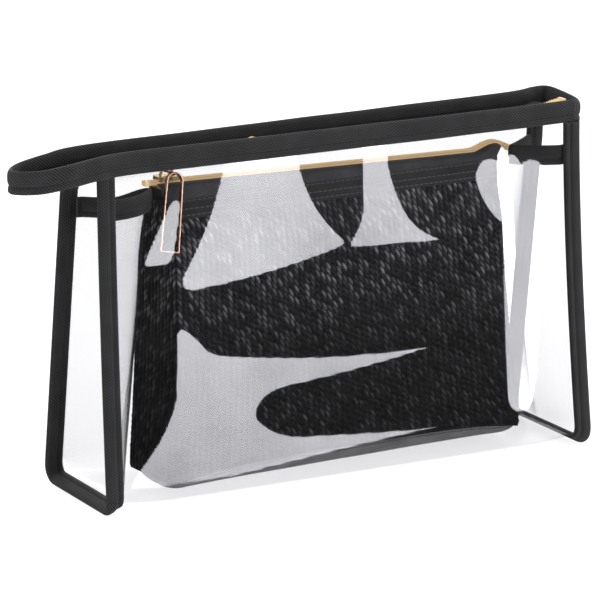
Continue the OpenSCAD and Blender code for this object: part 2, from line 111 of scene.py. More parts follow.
class Finishes(bpy.types.PropertyGroup):
    tape: colour("Binding tape", "Black twill binding", (0.017, 0.017, 0.018))
    thread: colour("Thread", "Stitching thread", (0.012, 0.012, 0.013))
    hem_thread: colour("Hem thread", "Stitching thread of the pouch hem", (0.09, 0.09, 0.095))
    zip_tape: colour("Zip tape", "Charcoal zip tape", (0.032, 0.032, 0.036))
    straw: colour("Straw", "Black woven paper straw", (0.012, 0.012, 0.013))
    base: colour("Pouch base", "Dark grey base cloth", (0.085, 0.083, 0.088))
    lining: colour("Lining", "Grey lining cloth", (0.08, 0.08, 0.095))
    gold: colour("Gold", "Gold slider metal", (0.88, 0.64, 0.33))
    zip_gold: colour("Zip gold", "Light gold of the zip elements", (0.95, 0.72, 0.4))
    rose: colour("Rose gold", "Rose gold puller metal", (0.46, 0.28, 0.2))


def in_mm(group):
    """A property group's lengths as plain numbers in millimetres."""
    props = group.bl_rna.properties
    return SimpleNamespace(**{
        key: getattr(group, key) / MM for key in props.keys()
        if key in group.__annotations__
    })


# ---- shape of the bag, in millimetres ----
FOLD_R = 5.0
TAPE_TILT = radians(25)
SHOULDER_Z = 137.5
FLOOR_MID = 3.5
STRAP_DOWN = 10.6

# Middle line of the rim binding: x, y, droop
RIM = (
    (112, -17, 0), (60, -19, 0), (0, -20, 0), (-60, -20.8, 0), (-108, -21.8, 0), (-124, -25, 0.2),
    (-138, -27.5, 1.5), (-150, -24, 3.5), (-157.5, -13.5, 4.5), (-151, -4.5, 3.8), (-137, -1.5, 1.8),
    (-118, 1, 0.2), (-60, 4, 0), (0, 7.3, 0), (60, 10.5, 0), (104, 13, 0), (119, 17.5, 0),
    (126, 17, 0), (127.5, 8, 0.6), (127.5, -4, 1.6), (124.5, -11.5, 1.6), (119, -16, 0),
)


def mix(a, b, t):
    return a + (b - a) * t


def ease(t):
    t = np.clip(t, 0, 1)
    return t * t * (3 - 2 * t)


def closed_curve(points, n):
    """Closed Catmull-Rom curve through the points, n steps from each point to the next."""
    p = np.array(points, float)
    before, after, later = np.roll(p, 1, 0), np.roll(p, -1, 0), np.roll(p, -2, 0)
    t = (np.arange(n) / n)[None, :, None]
    a, b, c, d = (q[:, None, :] for q in (before, p, after, later))
    out = 0.5 * (2 * b + t * (c - a) + t**2 * (2 * a - 5 * b + 4 * c - d) + t**3 * (3 * b - a - 3 * c + d))
    return out.reshape(-1, p.shape[1])


def smooth_waves(a, b, scale, seed):
    """Slow ripples from -1 to 1: five sine waves over (a, b) with seeded directions and phases."""
    draw = np.random.default_rng(seed)
    out = 0
    for _ in range(5):
        angle, phase, k = draw.uniform(0, pi), draw.uniform(0, 2 * pi), draw.uniform(0.6, 1.6)
        out = out + np.sin(2 * pi * k * (a * cos(angle) + b * sin(angle)) / scale + phase)
    return out / 5


def front_y(x, z, bag):
    """Y of the front panel: from its foot in to the rim's front run, quickly at first."""
    foot = mix(-27.5, -32.5, np.clip(x / bag.bag_length + 0.5, 0, 1))
    rim = -20 + 0.021 * x + 0.00005 * x * x
    return mix(foot, rim, 1 - (1 - np.clip(z / bag.panel_height, 0, 1)) ** 1.5)


def back_y(x, z, bag):
    """Y of the back panel: straight from its foot to the shoulder, then eased in to the rim."""
    along = np.clip(x / bag.bag_length + 0.5, 0, 1)
    straight = mix(mix(36.5, 32.5, along), mix(14.7, 14, along), np.minimum(1, z / SHOULDER_Z))
    return mix(straight, 7.3 + 0.0535 * x, ease((z - SHOULDER_Z) / (bag.panel_height - SHOULDER_Z)))


def floor_lift(bag):
    return bag.tape_width * sin(TAPE_TILT) + bag.tape_thick / 2 * cos(TAPE_TILT)


def floor_z(x, bag):
    """Height of the floor: flat in the middle, rising to the end seams."""
    return mix(FLOOR_MID, floor_lift(bag), ease((np.abs(x) - 94) / (bag.bag_length / 2 - 94)))


def wrap_grid(xs, bag, rows):
    """The U-shaped wrap: at each x, up-down profile of front, quarter fold, floor, quarter fold, back.

    rows gives how many steps the front, each fold, the floor and the back have."""
    x = xs[:, None]
    lift = floor_z(x, bag)
    low = lift + FOLD_R
    yf, yb = front_y(x, low, bag), back_y(x, low, bag)
    t = lambda n, end=False: np.linspace(0, 1, n, endpoint=end)[None, :]
    zf = mix(bag.panel_height, low, t(rows[0]))
    a = radians(180) + radians(90) * t(rows[1])
    fold = np.broadcast_to(yf + FOLD_R + FOLD_R * np.cos(a), (len(xs), rows[1])), low + FOLD_R * np.sin(a)
    yfloor = mix(yf + FOLD_R, yb - FOLD_R, t(rows[2]))
    b = radians(270) + radians(90) * t(rows[1])
    fold2 = yb - FOLD_R + FOLD_R * np.cos(b), low + FOLD_R * np.sin(b)
    zb = mix(low, bag.panel_height, t(rows[3], True))
    y = np.hstack([front_y(x, zf, bag), fold[0], yfloor, fold2[0], back_y(x, zb, bag)])
    z = np.hstack([zf, fold[1], np.broadcast_to(lift, yfloor.shape), fold2[1], zb])
    return np.stack([np.broadcast_to(x, y.shape), y, z], -1)


def fold_gap(x, z, bag):
    """How far the wrap's bottom fold has come in at one height: a quarter circle."""
    h = np.maximum(0, floor_z(x, bag) + FOLD_R - z)
    return FOLD_R - np.sqrt(np.maximum(0, FOLD_R**2 - h * h))


def gusset_row(side, z, inset, bag, n):
    """Plan of a gusset at heights z: two quadratic curves that meet in a sharp inward fold."""
    x = side * bag.bag_length / 2
    z = np.asarray(z, float)[:, None]
    gap = inset + fold_gap(np.full_like(z, x), z, bag)
    yf, yb = front_y(x, z, bag) + gap, back_y(x, z, bag) - gap
    fold = bag.gusset_fold * (1 if side < 0 else 0.8)
    d = fold * np.clip(z / (bag.panel_height - STRAP_DOWN), 0, 1) ** 0.55
    tip_y = mix(yf, yb, 0.43)
    bulge = (0 if side < 0 else 0.16) * (yb - yf) * np.clip(z / bag.panel_height, 0, 1)
    t = np.linspace(0, 1, n)[None, :]

    def curve(ax, ay, bx, by, cx, cy):
        return ((1 - t) ** 2 * ax + 2 * t * (1 - t) * bx + t * t * cx,
                (1 - t) ** 2 * ay + 2 * t * (1 - t) * by + t * t * cy)

    fx, fy = curve(x, yf, x - side * 0.62 * d, yf + bulge, x - side * d, tip_y)
    bx, by = curve(x - side * d, tip_y, x - side * 0.5 * d, mix(tip_y, yb, 0.42), x, yb)
    px, py = np.hstack([fx, bx[:, 1:]]), np.hstack([fy, by[:, 1:]])
    top = bag.panel_height - STRAP_DOWN - bag.strap_height
    sink = np.concatenate([0 * t[0], ease(t[0, 1:] * 5 / 3)]) * (4.8 if side < 0 else 0)
    return np.stack([px, py, z - sink * np.minimum(1, z / top) ** 2], -1)


# ---- mesh making ----
def lengths_along(path):
    """Distance along a path of points, from 0."""
    step = np.linalg.norm(np.diff(path, axis=0), axis=1)
    return np.concatenate([[0], np.cumsum(step)])


def cells(n, m, loop_n=False, loop_m=False):
    """Corner numbers of the cells of an n by m grid; a loop joins its last line to its first."""
    i = np.arange(n if loop_n else n - 1)[:, None]
    j = np.arange(m if loop_m else m - 1)[None, :]
    i2, j2 = (i + 1) % n, (j + 1) % m
    return np.stack(np.broadcast_arrays(i * m + j, i * m + j2, i2 * m + j2, i2 * m + j), -1).reshape(-1, 4)


def corner_uv(us, vs):
    """UV of each cell's corners, where lines of the grid stand at us and vs."""
    u, v = np.broadcast_arrays(us[:, None], vs[None, :])
    g = np.stack([u, v], -1)
    return np.stack([g[:-1, :-1], g[:-1, 1:], g[1:, 1:], g[1:, :-1]], 2).reshape(-1, 4, 2)


def grid_normals(grid):
    """Unit normals of a grid of points, from its two central differences."""
    n = np.cross(np.gradient(grid, axis=0), np.gradient(grid, axis=1))
    return n / np.maximum(np.linalg.norm(n, axis=-1, keepdims=True), 1e-9)


def shell(outer, inner, uv_scale=1.0):
    """Closed sheet between two equal grids, with its four edges walled."""
    n, m = outer.shape[:2]
    k = n * m
    quads = cells(n, m)
    us, vs = lengths_along(outer[:, m // 2]), lengths_along(outer[n // 2])
    uv = corner_uv(us, vs) * uv_scale
    first, last = np.arange(m), (n - 1) * m + np.arange(m)
    left, right = np.arange(n) * m, np.arange(n) * m + m - 1
    walls, wall_uv = [], []
    for line, turn, along, across in ((first, True, vs, 0.0), (last, False, vs, us[-1]),
                                      (left, False, us, 0.0), (right, True, us, vs[-1])):
        a, b = line[:-1], line[1:]
        wall = np.stack([a, b, b + k, a + k], -1)
        walls.append(wall if turn else wall[:, ::-1])
        s = np.stack([along[:-1], along[1:], along[1:], along[:-1]], -1)
        s = s if turn else s[:, ::-1]
        c = np.full_like(s, across)
        wall_uv.append(np.stack([c, s] if line is first or line is last else [s, c], -1) * uv_scale)
    faces = np.concatenate([quads, quads[:, ::-1] + k] + walls)
    return np.concatenate([outer.reshape(-1, 3), inner.reshape(-1, 3)]), faces, np.concatenate(
        [uv, uv[:, ::-1]] + wall_uv)


def tube(rings, us=None, loop=False):
    """Closed skin over rings of points; a loop joins the last ring to the first, or else both ends
    are capped."""
    n, m = rings.shape[:2]
    ring = rings[n // 2]
    vs = lengths_along(np.vstack([ring, ring[:1]]))
    path = rings.mean(1)
    us = lengths_along(np.vstack([path, path[:1]]) if loop else path) if us is None else us
    faces, uv = cells(n, m, loop, True), corner_uv(us, vs)
    points = rings.reshape(-1, 3)
    if not loop:
        for ring_at, turn in ((0, False), (n - 1, True)):
            # A cap closes each end: quads from the rim to a middle point, two rim edges each
            j = np.arange(0, m, 2)
            centre = len(points)
            points = np.vstack([points, rings[ring_at].mean(0)])
            a, b, c = ring_at * m + j, ring_at * m + (j + 1) % m, ring_at * m + (j + 2) % m
            cap = np.stack([np.full_like(j, centre), a, b, c], -1)
            faces = np.vstack([faces, cap[:, ::-1] if turn else cap])
            uv = np.concatenate([uv, np.broadcast_to([us[ring_at], 0.0], (len(j), 4, 2))])
    return points, faces, uv


def volume(points, faces):
    """Signed volume inside a closed mesh, by triangles to the origin."""
    p = points - points.mean(0)
    a, b, c, d = (p[faces[:, k]] for k in range(4))
    return float((a * np.cross(b, c)).sum() + (a * np.cross(c, d)).sum()) / 6


def joined(parts):
    """Several (points, faces, uv) shapes as one."""
    points, faces, uvs, start = [], [], [], 0
    for p, f, uv in parts:
        if volume(p, f) < 0:
            f, uv = f[:, ::-1], uv[:, ::-1]
        points.append(p)
        faces.append(f + start)
        uvs.append(uv)
        start += len(p)
    return np.concatenate(points), np.concatenate(faces), np.concatenate(uvs)


def piece(name, parts, material, body, replaces=(), sharp=None, normals=None):
    """Makes a piece from shapes in millimetres; its UV map is in metres along the surface."""
    points, faces, uv = joined(parts)
    mesh = bpy.data.meshes.new(name)
    mesh.vertices.add(len(points))
    mesh.vertices.foreach_set("co", (points * MM).astype(np.float32).ravel())
    mesh.loops.add(faces.size)
    mesh.loops.foreach_set("vertex_index", faces.astype(np.int32).ravel())
    mesh.polygons.add(len(faces))
    mesh.polygons.foreach_set("loop_start", np.arange(0, faces.size, 4, dtype=np.int32))
    mesh.update(calc_edges=True)
    layer = mesh.uv_layers.new(name="Along")
    layer.data.foreach_set("uv", (uv * MM).astype(np.float32).ravel())
    mesh.shade_smooth()
    if sharp is not None:
        mesh.set_sharp_from_angle(angle=radians(sharp))
    if normals is not None:
        mesh.normals_split_custom_set_from_vertices(normals)
    mesh.materials.append(material)
    obj = bpy.data.objects.new(name, mesh)
    bpy.context.scene.collection.objects.link(obj)
    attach(obj, body)
    if replaces:
        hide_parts(*replaces)
    return obj


def beads(centres, along, up, size, sides=8, rings=4):
    """A row of small stitches: one ellipsoid at each centre, size = half (length, width, height)."""
    t = np.linspace(0, pi, rings + 1)
    s = np.arange(sides) * 2 * pi / sides
    radius = np.maximum(np.sin(t), 0.25)[:, None]
    template = np.stack([np.broadcast_to(-np.cos(t)[:, None], (rings + 1, sides)),
                         radius * np.cos(s), radius * np.sin(s)], -1).reshape(-1, 3) * size
    across = np.cross(up, along)
    axes = np.stack([along, across, up], 1)
    placed = centres[:, None, :] + np.einsum("pk,nkd->npd", template, axes)
    quads = cells(rings + 1, sides, False, True)
    ends = []
    for start, turn in ((0, True), (rings * sides, False)):
        j = np.arange(1, sides - 2, 2)
        cap = np.stack([np.full_like(j, start), start + j, start + j + 1, start + j + 2], -1)
        ends.append(cap if turn else cap[:, ::-1])
    quads = np.concatenate([quads] + ends)
    faces = (quads[None] + (np.arange(len(centres)) * len(template))[:, None, None]).reshape(-1, 4)
    flat = placed.reshape(-1, 3)
    one = placed[0]
    if volume(one, quads) < 0:
        faces = faces[:, ::-1]
    uv = np.zeros((len(faces), 4, 2))
    return flat, faces, uv


def resample(path, step):
    """Points every step along a path, and the path's unit directions there."""
    s = lengths_along(path)
    at = np.arange(step / 2, s[-1], step)
    points = np.stack([np.interp(at, s, path[:, k]) for k in range(3)], -1)
    ahead = np.stack([np.interp(at + 0.3, s, path[:, k]) for k in range(3)], -1)
    behind = np.stack([np.interp(at - 0.3, s, path[:, k]) for k in range(3)], -1)
    d = ahead - behind
    return points, d / np.maximum(np.linalg.norm(d, axis=1, keepdims=True), 1e-9), at / s[-1]


# ---- materials ----
def put(tree, kind, at=(0, 0), **inputs):
    """Adds a node; a value that is a socket is linked, others set the socket or the setting."""
    node = tree.nodes.new(kind)
    node.location = at
    for key, value in inputs.items():
        key = key.replace("_", " ") if key.replace("_", " ") in node.inputs else key
        if isinstance(value, bpy.types.NodeSocket):
            tree.links.new(value, node.inputs[int(key[1:]) if key[0] == "i" and key[1:].isdigit() else key])
        elif key[0] == "i" and key[1:].isdigit():
            node.inputs[int(key[1:])].default_value = value
        elif key in node.inputs:
            node.inputs[key].default_value = value
        else:
            setattr(node, key, value)
    return node


def calc(tree, operation, a, b=0.0, at=(0, 0), clamp=False):
    return put(tree, "ShaderNodeMath", at, operation=operation, i0=a, i1=b, use_clamp=clamp).outputs[0]


def new_group(name, ins, outs):
    """An empty shader node group with named sockets: {name: (socket type, default)}."""
    group = bpy.data.node_groups.new(name, "ShaderNodeTree")
    for key, (kind, value) in ins.items():
        sock = group.interface.new_socket(key, in_out="INPUT", socket_type=kind)
        if value is not None:
            sock.default_value = value
    for key, kind in outs.items():
        group.interface.new_socket(key, in_out="OUTPUT", socket_type=kind)
    return group, group.nodes.new("NodeGroupInput"), group.nodes.new("NodeGroupOutput")


FLOAT, VECTOR = "NodeSocketFloat", "NodeSocketVector"


def twill_group():
    """Diagonal ribs of a twill: a saw of slanted lines over the cloth's UV, broken up by yarn noise. Its
    Shade follows the rib height as painted shade in the grooves and painted highlight on the ribs, plus slow
    noise for the cloth's own uneven tone.
    """
    group, gin, gout = new_group(
        "Twill ribs",
        {"Along": (VECTOR, None), "Spacing": (FLOAT, 0.0007), "Slant": (FLOAT, 1.0), "Fuzz": (FLOAT, 0.35)},
        {"Height": FLOAT, "Shade": FLOAT})
    sep = put(group, "ShaderNodeSeparateXYZ", Vector=gin.outputs["Along"])
    across = calc(group, "MULTIPLY", sep.outputs[1], gin.outputs["Slant"])
    slanted = calc(group, "ADD", sep.outputs[0], across)
    phase = calc(group, "DIVIDE", slanted, gin.outputs["Spacing"])
    rib = calc(group, "SINE", calc(group, "MULTIPLY", phase, 2 * pi))
    yarn = calc(group, "SINE", calc(group, "MULTIPLY", calc(
        group, "DIVIDE", sep.outputs[1], gin.outputs["Spacing"]), 2 * pi * 1.7))
    noise = put(group, "ShaderNodeTexNoise", Vector=gin.outputs["Along"], Scale=2600.0, Detail=3.0)
    slow = put(group, "ShaderNodeTexNoise", Vector=gin.outputs["Along"], Scale=90.0, Detail=2.0)
    ribs = calc(group, "ADD", calc(group, "MULTIPLY", rib, 0.5), calc(group, "MULTIPLY", yarn, 0.18))
    fuzz = calc(group, "MULTIPLY", calc(group, "SUBTRACT", noise.outputs[0], 0.5), gin.outputs["Fuzz"])
    height = calc(group, "ADD", ribs, fuzz)
    group.links.new(height, gout.inputs["Height"])
    # Painted shade and highlight: the colour follows the rib and yarn height, darker in the grooves and
    # lighter on the ribs; the slow noise is the cloth's own uneven tone.
    tone = calc(group, "ADD", calc(group, "MULTIPLY", height, 1.1), calc(group, "ADD", slow.outputs[0], 0.35))
    group.links.new(tone, gout.inputs["Shade"])
    return group


def straw_group():
    """Fine lengthwise fibres of flat paper straw, stretched along one direction, and its tone."""
    group, gin, gout = new_group(
        "Straw fibres", {"Along": (VECTOR, None), "Fineness": (FLOAT, 1800.0)},
        {"Height": FLOAT, "Shade": FLOAT})
    turned = put(group, "ShaderNodeMapping", Vector=gin.outputs["Along"], Rotation=(0, 0, radians(48)),
                 Scale=(0.16, 1.0, 1.0))
    fibre = put(group, "ShaderNodeTexNoise", Vector=turned.outputs[0],
                Scale=gin.outputs["Fineness"], Detail=4.0)
    patchy = put(group, "ShaderNodeTexNoise", Vector=gin.outputs["Along"], Scale=240.0, Detail=3.0)
    group.links.new(fibre.outputs[0], gout.inputs["Height"])
    tone = calc(group, "ADD", calc(group, "MULTIPLY", fibre.outputs[0], 0.9),
                calc(group, "MULTIPLY", patchy.outputs[0], 0.9))
    group.links.new(tone, gout.inputs["Shade"])
    return group


def scuff_group():
    """Handling marks on metal: fine random scratches and soft patches, as a roughness and a bump."""
    group, gin, gout = new_group(
        "Metal scuffs", {"Place": (VECTOR, None), "Polish": (FLOAT, 0.2)},
        {"Roughness": FLOAT, "Height": FLOAT})
    fine = put(group, "ShaderNodeTexNoise", Vector=gin.outputs["Place"], Scale=3000.0, Detail=2.0)
    soft = put(group, "ShaderNodeTexNoise", Vector=gin.outputs["Place"], Scale=350.0, Detail=3.0)
    spread = calc(group, "MULTIPLY", calc(group, "SUBTRACT", soft.outputs[0], 0.5), 0.3)
    group.links.new(calc(group, "ADD", gin.outputs["Polish"], spread, clamp=True), gout.inputs["Roughness"])
    group.links.new(fine.outputs[0], gout.inputs["Height"])
    return group


def material(name):
    """A new material with an emptied tree, its Principled BSDF and its output."""
    mat = bpy.data.materials.new(name)
    mat.use_nodes = True
    tree = mat.node_tree
    tree.nodes.clear()
    out = put(tree, "ShaderNodeOutputMaterial", (900, 0))
    bsdf = put(tree, "ShaderNodeBsdfPrincipled", (500, 0))
    tree.links.new(bsdf.outputs[0], out.inputs["Surface"])
    return mat, tree, bsdf, out


def tinted(tree, rgb, shade, low, high, at=(0, 200)):
    """A colour that follows a shade from low to high times its own value."""
    ramp = put(tree, "ShaderNodeMapRange", at, Value=shade, From_Min=0.3, From_Max=1.4,
               To_Min=low, To_Max=high)
    scale = put(tree, "ShaderNodeVectorMath", at, operation="SCALE", i0=rgb, Scale=ramp.outputs[0])
    return scale.outputs[0]


def cloth(name, rgb, spacing, slant, bump, rough, sheen, fuzz=0.35):
    """Woven cloth: twill ribs in bump and in colour, the colour as painted shade in the grooves and painted
    highlight on the ribs; a soft sheen on top.
    """
    mat, tree, bsdf, _ = material(name)
    along = put(tree, "ShaderNodeUVMap", (-900, 0), uv_map="Along").outputs[0]
    ribs = put(tree, "ShaderNodeGroup", (-500, 0), node_tree=bpy.data.node_groups["Twill ribs"])
    tree.links.new(along, ribs.inputs["Along"])
    for key, value in (("Spacing", spacing), ("Slant", slant), ("Fuzz", fuzz)):
        ribs.inputs[key].default_value = value
    tree.links.new(tinted(tree, rgb, ribs.outputs["Shade"], 0.2, 2.3), bsdf.inputs["Base Color"])
    lift = put(tree, "ShaderNodeBump", (100, -300), Height=ribs.outputs["Height"], Strength=1.0,
               Distance=bump)
    tree.links.new(lift.outputs[0], bsdf.inputs["Normal"])
    bsdf.inputs["Roughness"].default_value = rough
    bsdf.inputs["Specular IOR Level"].default_value = 0.35
    bsdf.inputs["Sheen Weight"].default_value = sheen
    bsdf.inputs["Sheen Roughness"].default_value = 0.45
    return mat


def straw_material(rgb):
    """Black paper straw: fibre bump, uneven tone, a dull shine on each strand, and a per-point tone attribute
    that paints a highlight on each strand's crest and shade in the gaps into the colour.
    """
    mat, tree, bsdf, _ = material("Black woven straw")
    along = put(tree, "ShaderNodeUVMap", (-900, 0), uv_map="Along").outputs[0]
    straw = put(tree, "ShaderNodeGroup", (-500, 0), node_tree=bpy.data.node_groups["Straw fibres"])
    tree.links.new(along, straw.inputs["Along"])
    tone = put(tree, "ShaderNodeAttribute", (-900, -300), attribute_name="ToneAndPaintedLight").outputs["Fac"]
    fibre = put(tree, "ShaderNodeMapRange", (-200, 200), Value=straw.outputs["Shade"],
                From_Min=0.6, From_Max=1.2, To_Min=0.1, To_Max=1.9).outputs[0]
    # Base colour from the tone attribute: painted highlight on the strand crests and painted shade in the
    # gaps, times the fibre tone.
    lit = calc(tree, "MULTIPLY", calc(tree, "ADD", calc(tree, "MULTIPLY", tone, 11.0), 0.3), fibre)
    shade = put(tree, "ShaderNodeVectorMath", (0, 200), operation="SCALE", i0=rgb, Scale=lit)
    tree.links.new(shade.outputs[0], bsdf.inputs["Base Color"])
    rough = put(tree, "ShaderNodeMapRange", (0, -100), Value=straw.outputs["Shade"],
                From_Min=0.5, From_Max=1.3, To_Min=0.5, To_Max=0.3)
    tree.links.new(rough.outputs[0], bsdf.inputs["Roughness"])
    lift = put(tree, "ShaderNodeBump", (100, -300), Height=straw.outputs["Height"], Strength=0.6,
               Distance=0.0002)
    tree.links.new(lift.outputs[0], bsdf.inputs["Normal"])
    shine = put(tree, "ShaderNodeMapRange", (0, -500), Value=tone, From_Min=0.0, From_Max=0.8,
                To_Min=0.12, To_Max=1.0)
    tree.links.new(shine.outputs[0], bsdf.inputs["Specular IOR Level"])
    return mat


def metal(name, rgb, polish, plating, painted_glow=0.0):
    """Plated metal: its colour, a polish that varies, and fine scratches; its emission strength adds a
    painted glow in the metal's own colour.
    """
    mat, tree, bsdf, _ = material(name)
    place = put(tree, "ShaderNodeTexCoord", (-900, 0)).outputs["Object"]
    scuffs = put(tree, "ShaderNodeGroup", (-500, 0), node_tree=bpy.data.node_groups["Metal scuffs"])
    tree.links.new(place, scuffs.inputs["Place"])
    scuffs.inputs["Polish"].default_value = polish
    tree.links.new(scuffs.outputs["Roughness"], bsdf.inputs["Roughness"])
    tone = put(tree, "ShaderNodeTexNoise", (-500, 300), Vector=place, Scale=600.0, Detail=2.0)
    tree.links.new(tinted(tree, rgb, tone.outputs[0], 0.9, 1.2), bsdf.inputs["Base Color"])
    lift = put(tree, "ShaderNodeBump", (100, -300), Height=scuffs.outputs["Height"], Strength=0.25,
               Distance=0.00003)
    tree.links.new(lift.outputs[0], bsdf.inputs["Normal"])
    bsdf.inputs["Metallic"].default_value = plating
    bsdf.inputs["Emission Color"].default_value = (*rgb, 1)
    bsdf.inputs["Emission Strength"].default_value = painted_glow
    return mat


def vinyl_material():
    """Clear vinyl: mostly see-through, mirrored by its Fresnel share on the side that faces out."""
    mat, tree, bsdf, out = material("Clear vinyl")
    bsdf.inputs["Base Color"].default_value = (1, 1, 1, 1)
    bsdf.inputs["Metallic"].default_value = 1.0
    place = put(tree, "ShaderNodeTexCoord", (-900, 0)).outputs["Object"]
    haze = put(tree, "ShaderNodeTexNoise", (-600, 0), Vector=place, Scale=45.0, Detail=3.0)
    rough = put(tree, "ShaderNodeMapRange", (-300, 0), Value=haze.outputs[0], From_Min=0.3, From_Max=0.7,
                To_Min=0.1, To_Max=0.16)
    tree.links.new(rough.outputs[0], bsdf.inputs["Roughness"])
    clear = put(tree, "ShaderNodeBsdfTransparent", (500, 300), Color=(0.967, 0.967, 0.971, 1))
    fresnel = put(tree, "ShaderNodeFresnel", (-300, 300), IOR=1.52).outputs[0]
    both = calc(tree, "MULTIPLY", fresnel, 2.1, (-100, 300), clamp=True)
    height = put(tree, "ShaderNodeSeparateXYZ", (-600, 900), Vector=place).outputs[2]
    low = put(tree, "ShaderNodeMapRange", (-300, 900), Value=height, From_Min=0.005, From_Max=0.012,
              To_Min=0.15, To_Max=1.0).outputs[0]
    both = calc(tree, "MULTIPLY", both, low, (0, 500))
    backfacing = put(tree, "ShaderNodeNewGeometry", (-300, 500)).outputs["Backfacing"]
    facing = calc(tree, "SUBTRACT", 1.0, backfacing)
    uneven = put(tree, "ShaderNodeTexNoise", (-600, 700), Vector=place, Scale=14.0, Detail=2.0).outputs[0]
    uneven = calc(tree, "ADD", calc(tree, "MULTIPLY", uneven, 0.7), 0.62, (-300, 700))
    share = calc(tree, "MULTIPLY", calc(tree, "MULTIPLY", both, uneven), facing, (300, 500), clamp=True)
    blend = put(tree, "ShaderNodeMixShader", (700, 100))
    tree.links.new(share, blend.inputs[0])
    tree.links.new(clear.outputs[0], blend.inputs[1])
    tree.links.new(bsdf.outputs[0], blend.inputs[2])
    tree.links.new(blend.outputs[0], out.inputs["Surface"])
    return mat


def finish(name):
    return bpy.data.materials[name]


# ---- zips: u along the chain, v across it, w up ----
ROW_GAP = 0.8
OUTER_ZIP_LEVEL = 150.4
OUTER_TAPE_FROM = -132
# Half the length over which the pouch's zip tape meets its element rows
POUCH_TAPE_HALF = 88
OUTER_ZIP = Matrix.Translation((-20.5, -6.7, OUTER_ZIP_LEVEL)) @ Matrix.Rotation(radians(1.94), 4, "Z")
OUTER_FROM, OUTER_TO, CLIMB_AT, CLIMB = -128.0, 142.0, 120.0, 5.6
OUTER_SLIDER_AT = -20.0
IN_POUCH = Matrix.Translation((2.2, -0.1, 4.4)) @ Matrix.Rotation(radians(2.4), 4, "Z")
ZIP_SLOPE = radians(1.4)
POUCH_FROM, POUCH_TO, HUMP_AT, HUMP = -92.0, 94.5, 75.0, 3.2
POUCH_SLIDER_AT = -82.5
PIN_W = 4.4
PIN_R = 0.6
STRIP = 0.9


def pouch_zip_frame(pouch):
    return IN_POUCH @ Matrix.Translation((0, 0, pouch.pouch_height)) @ Matrix.Rotation(ZIP_SLOPE, 4, "Y")


def placed(points, matrix):
    """Points carried by a 4 by 4 matrix."""
    m = np.array(matrix)
    return points @ m[:3, :3].T + m[:3, 3]


def climb(u):
    return CLIMB * ease((u - CLIMB_AT) / (OUTER_TO - CLIMB_AT))


def hump(u):
    t = np.clip((u - HUMP_AT) / (POUCH_TO - HUMP_AT), 0, 1)
    return HUMP * np.sin(pi * t**1.3)


def element_row(first, last, rise, side, zips, offset):
    """One row of zip elements: a rounded foot on the tape and a narrower head towards the other row."""
    us = np.arange(first + 0.6 + offset, last - 0.5, zips.pitch)
    v0, v1 = ROW_GAP / 2 - 0.08, ROW_GAP / 2 + zips.row_width
    h = zips.row_height / 2
    # Rings across v: half length along u and half height, head to foot
    across = np.array([v0, v0 + 0.12, v0 + 0.5, v0 + 0.75, v1 - 0.12, v1])
    half_u = np.array([0.3, 0.5, 0.52, 0.6, 0.6, 0.5])
    half_w = np.array([0.55, 0.72, 0.74, 0.98, 0.98, 0.8]) * h
    corner = np.linspace(0, 2 * pi, 8, endpoint=False) + pi / 8
    cu, cw = np.cos(corner), np.sin(corner)
    ring_u, ring_w = half_u[:, None] * cu * 1.08, half_w[:, None] * cw * 1.08
    one = np.stack([ring_u, np.broadcast_to(side * across[:, None], ring_u.shape), ring_w], -1)
    points, faces, _ = tube(one)
    slope = (rise(us + 0.5) - rise(us - 0.5))
    u = us[:, None] + points[None, :, 0] - slope[:, None] * points[None, :, 2]
    w = rise(us)[:, None] + points[None, :, 2] + slope[:, None] * points[None, :, 0]
    v = np.broadcast_to(points[None, :, 1], u.shape)
    if volume(points, faces) < 0:
        faces = faces[:, ::-1]
    many = (faces[None] + (np.arange(len(us)) * len(points))[:, None, None]).reshape(-1, 4)
    return np.stack([u, v, w], -1).reshape(-1, 3), many, np.zeros((len(many), 4, 2))


def transformed(part, matrix):
    points, faces, uv = part
    return placed(points, matrix), faces, uv


# ---- pouch shape ----
DEPTHS = ((0, 6, 50, 104, 116, 124, 129.5, 134), (19.5, 19.5, 17.2, 12, 9.3, 6.8, 4.6, 2))
FRONT_ENDS = ((0, 6, 50, 117, 134), (-1, -1, -5.5, -8, -5))
BACK_ENDS = ((0, 6, 50, 117, 134), (0, 0, -1.5, -2, -3))
HEM_FROM, HEM_TO = 121.0, 128.3
CORNER_R = 4.0


def soft_interp(w, table):
    """A table's value at w, its kinks eased over a few millimetres."""
    return sum(np.interp(w + k, *table) for k in (-4, -2, 0, 2, 4)) / 5


def seam_height(u, pouch):
    """Height of the base seam: high in the middle, falling to the ends."""
    return 10 - 5 * np.minimum(1, np.abs(u) / (pouch.pouch_length / 2)) ** 4


